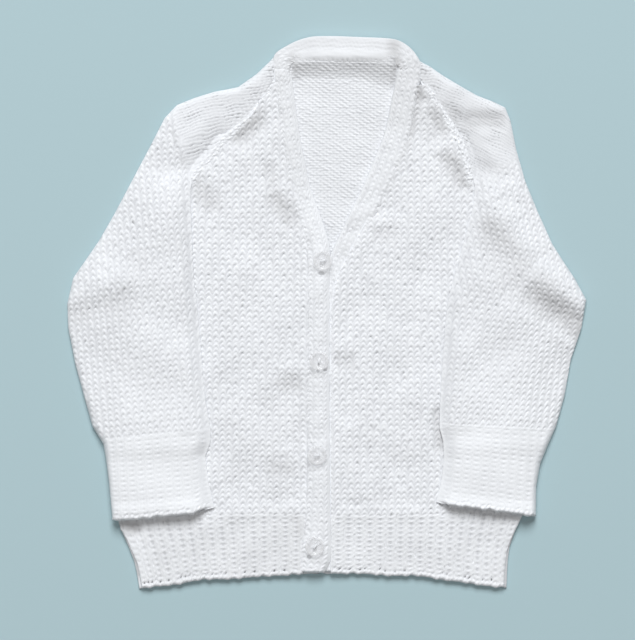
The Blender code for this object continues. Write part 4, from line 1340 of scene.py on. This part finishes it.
def make_strip(name, knit, edges, look, seed, low_height, arch, pattern, sink, shade,
               ends=False, outer_roll=1.2, free_roll=1.1, thin=0.7):
    """A band of rib: a closed strip whose lower face is at low_height(share, x, y, b).

    arch is how far it bulges at (share, b), and pattern makes its stitch heights. sink says
    how far its top is let in at (a, distance to each end, y), where it joins others. With
    ends, its start is rounded off as well as its sides.
    """
    place, width_at, limits, length = strip_place(edges)
    shell = Shell(place)
    heights = pattern(knit, place, width_at, length, seed)
    widest = float(np.max(width_at(np.linspace(0.0, length, 200))))

    def edge_share(a, b):
        last = b if ends else np.full(np.shape(b), 9.0)
        outer = roll(a + 0.5 * outer_roll, outer_roll)
        return outer * smoothstep(-0.4, free_roll, width_at(b) - a) * roll(last, 1.2)

    def top_surface(x, y, a, b):
        share = a / width_at(b)
        low = low_height(share, x, y, b)
        stitches, depth = heights(a, b)
        full = BAND_CLOTH + arch(share, b) + stitches + 0.12 * swell(x, y, seed, 14.0)
        return low + thin + (full - thin) * edge_share(a, b) - sink(a, b, length - b, y), depth

    def under_surface(x, y, a, b):
        return low_height(a / width_at(b), x, y, b), plain_depth(x)

    columns = np.linspace(-0.4, widest + 0.4, int(widest / STRIP_COLUMN) + 3)
    rows = np.linspace(0.0, length, int(length / STRIP_ROW))
    shell.layers(rows, columns, limits, top_surface, under_surface, (8, 5), shade=shade)
    return shell.build(name, look)


def band_sink(a, start, end, y):
    """A front band is let in along its seam up the V slope, and where it meets the neckband."""
    along_seam = 0.5 * smoothstep(2.2, 0.0, a) * (1.0 - bands_meet(y))
    return along_seam + 0.7 * smoothstep(5.0, 0.0, end)


def neckband_sink(a, start, end, y):
    """The neckband is let in where it meets the front bands."""
    return 0.7 * smoothstep(5.0, 0.0, np.minimum(start, end))


def make_buttonhole_band(knit, look):
    """The upper band, stepping up from the front's level to lie on the button band."""
    def low_height(share, x, y, b):
        step = SEAM_LIFT + (BAND_CLOTH + GAP - SEAM_LIFT) * smoothstep(0.0, 0.5, share)
        return FRONT_Z + step * bands_meet(y)

    def arch(share, b):
        return 0.25 * hump(share)

    return make_strip(
        "knit_band_buttonhole", knit, band_edges(BUTTONHOLE_BAND), look, knit.seed + 60,
        low_height, arch, lambda *sizes: band_knit(*sizes, True), band_sink,
        # Painted shade up the V slope.
        lambda x, y: 0.14 * smoothstep(50.0, 85.0, y), ends=True, free_roll=2.6, thin=0.4)


def make_button_band(knit, look):
    """The lower band, along the left front and its V slope."""
    def low_height(share, x, y, b):
        return FRONT_Z + 0.5 * SEAM_LIFT * smoothstep(0.35, 0.0, share) * bands_meet(y)

    def arch(share, b):
        return 0.15 * hump(share)

    return make_strip(
        "knit_band_button", knit, band_edges(BUTTON_BAND), look, knit.seed + 70,
        low_height, arch, lambda *sizes: band_knit(*sizes, False), band_sink,
        # Painted shade towards the top of the V slope.
        lambda x, y: 0.08 + 0.24 * smoothstep(88.0, 112.0, y))


def make_neckband(knit, look):
    """The back neckband: it stands puffed on the back's neck edge, its inner edge free."""
    given = np.array(NECKBAND, dtype=float)
    place_at = np.concatenate(([0.0], np.cumsum(np.hypot(*np.diff(given[:, :2], axis=0).T))))
    fine = np.linspace(0.0, place_at[-1], 60)
    edges = [np.interp(fine, place_at, given[:, number]) for number in range(4)]
    edges = smoothed(np.column_stack(edges), 4)
    length = strip_place(edges)[-1]

    def lift(b):
        return np.interp(b / length * place_at[-1], place_at, given[:, 4])

    def low_height(share, x, y, b):
        laid = (FRONT_Z + 2.3) * smoothstep(0.0, 0.8, share)
        return blend(laid, FRONT_Z, lift(b))

    def arch(share, b):
        high = 3.0 * smoothstep(0.75, 0.0, share) + 0.3 * np.sin(np.pi * share)
        taper = 0.9 * smoothstep(0.7, 1.0, share)
        return (high - taper) * (1.0 - lift(b)) + 0.2 * lift(b) * np.sin(np.pi * share)

    def shade(x, y):
        """A little shade all over, more on the outer half, at the corners and towards the
        bands' ends."""
        ends = smoothstep(140.0, 130.0, y)
        outer = smoothstep(138.0, 142.0, y)
        side = np.where(x > 0.0, 0.2, 0.02)
        return 0.12 + side * ends + 0.12 * outer + ridges(NECK_SHADES, x, y)

    return make_strip(
        "knit_neckband", knit, edges, look, knit.seed + 80, low_height, arch, neckband_knit,
        neckband_sink, shade, outer_roll=2.8, thin=0.5)


def make_raglan_seam(knit, side, look):
    """The raglan seam's bold line of stitches, between front and sleeve."""
    sign, top_y, corner, bold, power = RAGLANS[side]
    seed = knit.seed + 90
    y = np.arange(RAGLAN_START_Y, top_y, 2.0)
    turn_x = side_x(RAGLAN_TURN_Y, side)
    to_corner = corner + (turn_x - corner) * smoothstep(RAGLAN_CORNER_Y, RAGLAN_TURN_Y, y)
    x = np.where(y < RAGLAN_TURN_Y, side_x(np.maximum(y, 71.6), side), to_corner)
    x = smoothed(x, 2)
    slope = np.gradient(x, y)
    norm = np.hypot(1.0, slope)
    across = np.column_stack((1.0 / norm, -slope / norm)) * RAGLAN_HALF
    centre = np.column_stack((x + sign * 0.6, y))
    place, width_at, limits, length = strip_place(np.hstack((centre - across, centre + across)))
    shell = Shell(place)

    def top_surface(x, y, a, b):
        share = a / width_at(b)
        depth = stocking(2.0 * share, b / RAGLAN_ROW, seed, 1.5 * knit.unevenness)
        rise = hump(share) ** power * smoothstep(0.0, 8.0, np.minimum(b, length - b))
        depth = np.maximum(depth + 0.25 * swell(x, y, seed + 1, 1.9), 0.1)
        on_sleeve = 0.5 * smoothstep(76.0, 68.0, y)
        return FRONT_TOP - 0.9 + (bold * (1.0 + 1.6 * depth) + on_sleeve) * rise, depth

    def under_surface(x, y, a, b):
        return np.full(np.shape(x), FRONT_TOP - 1.1), plain_depth(x)

    columns = np.linspace(-0.2, 2 * RAGLAN_HALF + 0.2, 13)
    rows = np.linspace(0.0, length, int(length / STRIP_ROW))
    shell.layers(rows, columns, limits, top_surface, under_surface, (8, 4))
    return shell.build(f"raglan_seam_{side}", look)


# ================================================================ buttons
def turned(name, profile, segments, centre, look):
    """A turned body: a profile of (radius, height) carried round, its ends on the axis."""
    radius, height = np.array(profile, dtype=float).T
    angle = np.linspace(0.0, 2.0 * np.pi, segments, endpoint=False)
    ring_x = radius[1:-1, None] * np.cos(angle)[None, :]
    ring_y = radius[1:-1, None] * np.sin(angle)[None, :]
    ring_z = np.broadcast_to(height[1:-1, None], ring_x.shape)
    rings = np.stack((ring_x, ring_y, ring_z), axis=-1).reshape(-1, 3)
    ends = np.array([[0.0, 0.0, height[0]], [0.0, 0.0, height[-1]]])
    points = np.vstack((rings, ends)) + np.array(centre)
    count = len(radius) - 2
    ids = np.arange(count * segments).reshape(count, segments)
    after = np.roll(ids, -1, axis=1)
    low, high = ids.size, ids.size + 1
    faces = np.vstack((
        grid_faces(np.column_stack((ids, ids[:, 0]))),
        np.column_stack((after[0], ids[0], np.full(segments, low))),
        np.column_stack((ids[-1], after[-1], np.full(segments, high))),
    ))
    return add_mesh(name, points * MM, faces, look)


def tube(paths, radius, sides=8):
    """Points and triangles of round closed tubes along paths, each an array of points.

    The ring at a point lies across the path there, turned from a fixed side direction.
    """
    all_points, all_faces, count = [], [], 0
    for path in paths:
        along = np.gradient(path, axis=0)
        along /= np.linalg.norm(along, axis=1, keepdims=True)
        side = np.cross(along, np.array([0.13, 0.21, 0.97]))
        side /= np.linalg.norm(side, axis=1, keepdims=True)
        up = np.cross(side, along)
        angle = np.linspace(0.0, 2.0 * np.pi, sides, endpoint=False)
        ring = (np.cos(angle)[None, :, None] * side[:, None, :]
                + np.sin(angle)[None, :, None] * up[:, None, :])
        points = path[:, None, :] + ring * radius
        ids = count + np.arange(len(path) * sides).reshape(len(path), sides)
        after = np.roll(ids, -1, axis=1)
        start, end = count + ids.size, count + ids.size + 1
        all_points.extend((points.reshape(-1, 3), path[:1], path[-1:]))
        all_faces.extend((
            grid_faces(np.column_stack((ids, ids[:, 0])))[:, (0, 2, 1)],
            np.column_stack((ids[0], after[0], np.full(sides, start))),
            np.column_stack((after[-1], ids[-1], np.full(sides, end))),
        ))
        count += ids.size + 2
    return np.vstack(all_points), np.vstack(all_faces)


def make_button(number, turn, pearl, wool):
    """A button with a raised rim, a dished middle and two drilled holes, and the two arcs of
    its sewing thread. turn is the direction from one hole to the other."""
    low, high = (np.array(corner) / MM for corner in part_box(f"button_{number}"))
    centre = 0.5 * (low + high)
    radius, height = 0.5 * (high[0] - low[0]), high[2] - low[2]
    centre[2] = low[2]
    profile = np.array(BUTTON_PROFILE) * (radius, height)
    body = turned(f"button_{number}_pearl", profile, BUTTON_SEGMENTS, centre, pearl)
    aim = np.array([np.cos(turn), np.sin(turn), 0.0])
    spread = HOLE_SPREAD * radius
    feet = [centre + side * spread * aim for side in (-1.0, 1.0)]
    paths = [np.linspace(foot - (0, 0, 1.0), foot + (0, 0, height + 1.0), 3) for foot in feet]
    points, faces = tube(paths, HOLE_RADIUS * radius, sides=16)
    drill = add_mesh("drill", points * MM, faces, pearl)
    cut = body.modifiers.new("thread holes", "BOOLEAN")
    cut.operation = "DIFFERENCE"
    cut.object = drill
    evaluated = body.evaluated_get(bpy.context.evaluated_depsgraph_get())
    drilled = bpy.data.meshes.new_from_object(evaluated)
    body.modifiers.clear()
    body.data = drilled
    drilled.set_sharp_from_angle(angle=np.radians(50.0))
    bpy.data.objects.remove(drill, do_unlink=True)

    arcs = []
    t = np.linspace(0.0, np.pi, 17)
    rise = BUTTON_FLOOR * height + 0.55 * np.sin(t) ** 0.7 - 0.4 * (1.0 - np.sin(t))
    for aside in (-THREAD_ASIDE, THREAD_ASIDE):
        across = np.array([-aim[1], aim[0], 0.0]) * aside
        arcs.append(centre + across + np.outer(np.cos(t) * spread, aim)
                    + np.outer(rise, (0, 0, 1)))
    points, faces = tube(arcs, THREAD_RADIUS)
    thread = add_mesh(f"button_{number}_thread", points * MM, faces, wool,
                      {"knit_depth": np.ones(len(points))})
    return body, thread


# ================================================================ materials
def feed(tree, node, inputs):
    """Gives a node its inputs, each a value or the output socket it is linked to."""
    for name, value in inputs.items():
        if isinstance(value, bpy.types.NodeSocket):
            tree.links.new(value, node.inputs[name])
        else:
            node.inputs[name].default_value = value


def add_node(tree, kind, inputs, output):
    """Adds a node with its inputs, and returns one of its outputs."""
    node = tree.nodes.new(kind)
    feed(tree, node, inputs)
    return node.outputs[output]


def noise(tree, inputs):
    """Noise in the object's own coordinates."""
    place = tree.nodes.new("ShaderNodeTexCoord").outputs["Object"]
    return add_node(tree, "ShaderNodeTexNoise", {"Vector": place, **inputs}, "Fac")


def mapped(tree, value, start, end, low, high):
    """A value carried from the range start to end over to the range low to high."""
    return add_node(tree, "ShaderNodeMapRange", {
        "Value": value, "From Min": start, "From Max": end, "To Min": low, "To Max": high,
    }, "Result")


def mixed(tree, factor, first, second, way="MIX"):
    """A mix of two colours: by factor, or multiplied."""
    node = tree.nodes.new("ShaderNodeMix")
    node.data_type = "RGBA"
    node.blend_type = way
    feed(tree, node, {"Factor": factor, "A": first, "B": second})
    return node.outputs["Result"]


def stitch_value(tree, name):
    """A value that the knitted mesh carries for each point."""
    node = tree.nodes.new("ShaderNodeAttribute")
    node.attribute_name = name
    return node.outputs["Fac"]


def yarn_and_painted_shade_group():
    """Shared yarn colour and painted shade: colour by depth in the stitch, turned darker in pits
    and holes as painted shade, darker by the soft shade value as painted shade, mottled, and the
    fine fibres' bump.
    """
    name = "yarn colour and painted shade"
    if name in bpy.data.node_groups:
        return bpy.data.node_groups[name]
    tree = bpy.data.node_groups.new(name, "ShaderNodeTree")
    for label, way, kind, default in (
        ("Crest Colour", "INPUT", "NodeSocketColor", None),
        ("Pit Shade Colour", "INPUT", "NodeSocketColor", None),
        ("Mottle", "INPUT", "NodeSocketFloat", 0.5),
        ("Fibre Depth", "INPUT", "NodeSocketFloat", 0.2),
        ("Colour", "OUTPUT", "NodeSocketColor", None),
        ("Roughness", "OUTPUT", "NodeSocketFloat", None),
        ("Normal", "OUTPUT", "NodeSocketVector", None),
    ):
        socket = tree.interface.new_socket(name=label, in_out=way, socket_type=kind)
        if default is not None:
            socket.default_value = default
    enter = tree.nodes.new("NodeGroupInput")
    leave = tree.nodes.new("NodeGroupOutput")
    given = enter.outputs

    # Painted shade: low stitch depth turns the yarn to the pit colour, and below 0.1 darkens it
    # further, standing in for the shade in pits and holes.
    depth = stitch_value(tree, "knit_depth")
    pit_shaded_colour = mixed(tree, mapped(tree, depth, 0.05, 0.75, 0.0, 1.0),
                     given["Pit Shade Colour"], given["Crest Colour"])
    hole = mapped(tree, depth, -0.5, 0.1, 0.3, 1.0)
    holed = mixed(tree, 1.0, pit_shaded_colour, hole, "MULTIPLY")
    # Painted shade: the knit_shade value multiplies the colour by the shade tint, for creases,
    # hollows and the neck.
    shaded = mixed(tree, stitch_value(tree, "knit_shade"), holed, SHADE_TINT, "MULTIPLY")
    patches = noise(tree, {"Scale": 60.0, "Detail": 3.0})
    tone = mapped(tree, patches, 0.3, 0.7, 0.93, 1.05)
    fibres = noise(tree, {"Scale": 1900.0, "Detail": 3.0, "Roughness": 0.65})
    feed(tree, leave, {
        "Colour": mixed(tree, given["Mottle"], shaded, tone, "MULTIPLY"),
        "Roughness": mapped(tree, fibres, 0.0, 1.0, 0.85, 1.0),
        "Normal": add_node(tree, "ShaderNodeBump", {
            "Distance": 0.0004, "Strength": given["Fibre Depth"], "Height": fibres,
        }, "Normal"),
    })
    return tree


def start_material(name):
    """A new material, its node tree and its shader."""
    made = bpy.data.materials.new(name)
    made.use_nodes = True
    return made, made.node_tree, made.node_tree.nodes["Principled BSDF"]


def wool_material(name, look, mottle, fibre_depth):
    """White wool: the shared yarn colour with its painted shade in pits, holes and creases, under a
    soft sheen.
    """
    if name in bpy.data.materials:
        return bpy.data.materials[name]
    made, tree, shader = start_material(name)
    yarn_colour_and_shade = tree.nodes.new("ShaderNodeGroup")
    yarn_colour_and_shade.node_tree = yarn_and_painted_shade_group()
    feed(tree, yarn_colour_and_shade, {
        "Crest Colour": (*look.wool, 1.0), "Pit Shade Colour": (*look.wool_pit_shade, 1.0),
        "Mottle": mottle, "Fibre Depth": fibre_depth,
    })
    feed(tree, shader, {
        "Sheen Weight": 0.12, "Sheen Roughness": 0.5, "Specular IOR Level": 0.15,
        "Base Color": yarn_colour_and_shade.outputs["Colour"], "Roughness": yarn_colour_and_shade.outputs["Roughness"],
        "Normal": yarn_colour_and_shade.outputs["Normal"],
    })
    return made


def pearl_material(look):
    """Clear pearl plastic: half see-through, polished, with a faint milky swirl."""
    name = "pearl plastic"
    if name in bpy.data.materials:
        return bpy.data.materials[name]
    made, tree, shader = start_material(name)
    swirl = noise(tree, {"Scale": 320.0, "Distortion": 1.2})
    milky = (*(0.9 * part for part in look.pearl), 1.0)
    feed(tree, shader, {
        "Alpha": 0.2, "IOR": 1.49, "Coat Weight": 0.4, "Coat Roughness": 0.08,
        "Base Color": mixed(tree, swirl, milky, (*look.pearl, 1.0)),
        "Roughness": mapped(tree, swirl, 0.0, 1.0, 0.1, 0.26),
    })
    return made


def floor_material(look):
    """A matt pale floor with a very fine grain."""
    made, tree, shader = start_material("floor")
    grain = noise(tree, {"Scale": 900.0})
    feed(tree, shader, {
        "Base Color": (*look.floor, 1.0), "Roughness": 0.9,
        "Normal": add_node(tree, "ShaderNodeBump", {
            "Strength": 0.05, "Distance": 0.0003, "Height": grain,
        }, "Normal"),
    })
    return made


def body_wool(look):
    """The wool of the body, sleeves and raglan seams."""
    return wool_material("knitted wool", look, mottle=0.5, fibre_depth=0.35)


def rib_wool(look):
    """The wool of the bands and of the buttons' thread."""
    return wool_material("ribbed wool", look, mottle=0.4, fibre_depth=0.4)


# ================================================================ operators
def finish_cloth(piece, node):
    """Ties a knitted piece to the frame and hides the part it stands for."""
    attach(piece, "root")
    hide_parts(node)


def settings(context):
    """The scene's own settings for the knitting and for its look."""
    return context.scene.cardigan_knit, context.scene.cardigan_look


class CARDIGAN_OT_back(Operator):
    """Make the back, with its welt"""

    bl_idname = "cardigan.back"
    bl_label = "Back"

    def execute(self, context):
        knit, look = settings(context)
        finish_cloth(make_back(knit, body_wool(look)), "back")
        return {"FINISHED"}


class CARDIGAN_OT_fronts(Operator):
    """Make both fronts, with their welts"""

    bl_idname = "cardigan.fronts"
    bl_label = "Fronts"

    def execute(self, context):
        knit, look = settings(context)
        for side in FRONTS:
            piece = make_front(knit, side, body_wool(look))
            finish_cloth(piece, f"front_{side}")
        return {"FINISHED"}


class CARDIGAN_OT_sleeves(Operator):
    """Make both sleeves, with their cuffs"""

    bl_idname = "cardigan.sleeves"
    bl_label = "Sleeves"

    def execute(self, context):
        knit, look = settings(context)
        for side in SLEEVES:
            piece = make_sleeve(knit, side, body_wool(look))
            finish_cloth(piece, f"sleeve_{side}")
        return {"FINISHED"}


class CARDIGAN_OT_bands(Operator):
    """Make the two front bands and the back neckband"""

    bl_idname = "cardigan.bands"
    bl_label = "Bands"

    def execute(self, context):
        knit, look = settings(context)
        for node, make, rests_on in (
            ("band_button", make_button_band, ["back"]),
            ("band_buttonhole", make_buttonhole_band, ["back", "band_button"]),
            ("neckband", make_neckband, ["back"]),
        ):
            finish_cloth(make(knit, rib_wool(look)), node)
        return {"FINISHED"}


class CARDIGAN_OT_seams(Operator):
    """Make the raglan seams"""

    bl_idname = "cardigan.seams"
    bl_label = "Raglan seams"

    def execute(self, context):
        knit, look = settings(context)
        for side in RAGLANS:
            piece = make_raglan_seam(knit, side, body_wool(look))
            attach(piece, "root")
        return {"FINISHED"}


class CARDIGAN_OT_buttons(Operator):
    """Make the four buttons and their sewing thread"""

    bl_idname = "cardigan.buttons"
    bl_label = "Buttons"

    def execute(self, context):
        look = settings(context)[1]
        pearl, wool = pearl_material(look), rib_wool(look)
        for number, degrees in enumerate(BUTTON_TURNS, start=1):
            button, thread = make_button(number, np.radians(degrees), pearl, wool)
            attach(button, "root")
            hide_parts(f"button_{number}")
            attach(thread, "root")
        return {"FINISHED"}


def add_light(scene, name, place, width, power, colour):
    """A round area light aimed at the origin."""
    lamp = bpy.data.lights.new(name, "AREA")
    lamp.shape = "DISK"
    lamp.size = width
    lamp.energy = power
    lamp.color = colour
    made = bpy.data.objects.new(name, lamp)
    made.location = place
    x, y, z = place
    made.rotation_euler = (np.arctan2(np.hypot(x, y), z), 0.0, np.arctan2(y, x) + np.pi / 2.0)
    scene.collection.objects.link(made)


class CARDIGAN_OT_stage(Operator):
    """Make the floor, the lights and the camera"""

    bl_idname = "cardigan.stage"
    bl_label = "Stage"

    def execute(self, context):
        scene = context.scene
        stage, look = scene.cardigan_stage, scene.cardigan_look
        corners = np.array([[-1, -1, 0], [1, -1, 0], [1, 1, 0], [-1, 1, 0]]) * FLOOR_HALF
        corners[:, 2] = FLOOR_Z
        floor = add_mesh("floor", corners, np.array([[0, 1, 2], [0, 2, 3]]), floor_material(look))

        powers = (stage.key_power, stage.fill_power)
        for (name, place, width, colour), power in zip(LIGHTS, powers):
            add_light(scene, name, place, width, power, colour)
        world = bpy.data.worlds.new("even light")
        world.use_nodes = True
        feed(world.node_tree, world.node_tree.nodes["Background"],
             {"Color": SKY_COLOUR, "Strength": stage.sky})
        scene.world = world
        scene.view_settings.view_transform = "Standard"

        lens = bpy.data.cameras.new("camera")
        lens.sensor_fit = "VERTICAL"
        lens.sensor_height = SENSOR
        frame_height = PICTURE_HEIGHT * stage.pixel
        lens.lens = SENSOR * (stage.distance - FRONT_TOP * MM) / frame_height
        camera = bpy.data.objects.new("camera", lens)
        camera.location = (stage.middle_x, stage.middle_y, stage.distance)
        scene.collection.objects.link(camera)
        scene.camera = camera
        return {"FINISHED"}


class CARDIGAN_PT_panel(Panel):
    """Lists the cardigan's main sizes and its pieces."""

    bl_idname = "CARDIGAN_PT_panel"
    bl_label = "Baby cardigan"
    bl_space_type = "VIEW_3D"
    bl_region_type = "UI"
    bl_category = "Cardigan"

    def draw(self, context):
        scene = context.scene
        for group, names in (
            (scene.cardigan_knit, ("stitch_width", "row_height", "sleeve_stitch", "sleeve_row",
                                   "relief", "rib_relief", "unevenness", "seed")),
            (scene.cardigan_look, ("wool", "wool_pit_shade", "pearl", "floor")),
            (scene.cardigan_stage, ("key_power", "fill_power", "sky")),
        ):
            box = self.layout.box()
            for name in names:
                box.prop(group, name)
        for operator in OPERATORS:
            self.layout.operator(operator.bl_idname)


OPERATORS = (CARDIGAN_OT_stage, CARDIGAN_OT_back, CARDIGAN_OT_fronts, CARDIGAN_OT_sleeves,
             CARDIGAN_OT_bands, CARDIGAN_OT_seams, CARDIGAN_OT_buttons)
CLASSES = (CardiganKnit, CardiganLook, CardiganStage, *OPERATORS, CARDIGAN_PT_panel)


def register():
    """Adds the classes and the scene's settings."""
    for kind in CLASSES:
        bpy.utils.register_class(kind)
    bpy.types.Scene.cardigan_knit = PointerProperty(type=CardiganKnit)
    bpy.types.Scene.cardigan_look = PointerProperty(type=CardiganLook)
    bpy.types.Scene.cardigan_stage = PointerProperty(type=CardiganStage)


def unregister():
    """Takes away what register adds."""
    del bpy.types.Scene.cardigan_stage
    del bpy.types.Scene.cardigan_look
    del bpy.types.Scene.cardigan_knit
    for kind in reversed(CLASSES):
        bpy.utils.unregister_class(kind)


def main():
    """Registers the add-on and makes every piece."""
    register()
    bpy.ops.cardigan.stage()
    bpy.ops.cardigan.back()
    bpy.ops.cardigan.fronts()
    bpy.ops.cardigan.sleeves()
    bpy.ops.cardigan.bands()
    bpy.ops.cardigan.seams()
    bpy.ops.cardigan.buttons()


if __name__ == "__main__":
    main()
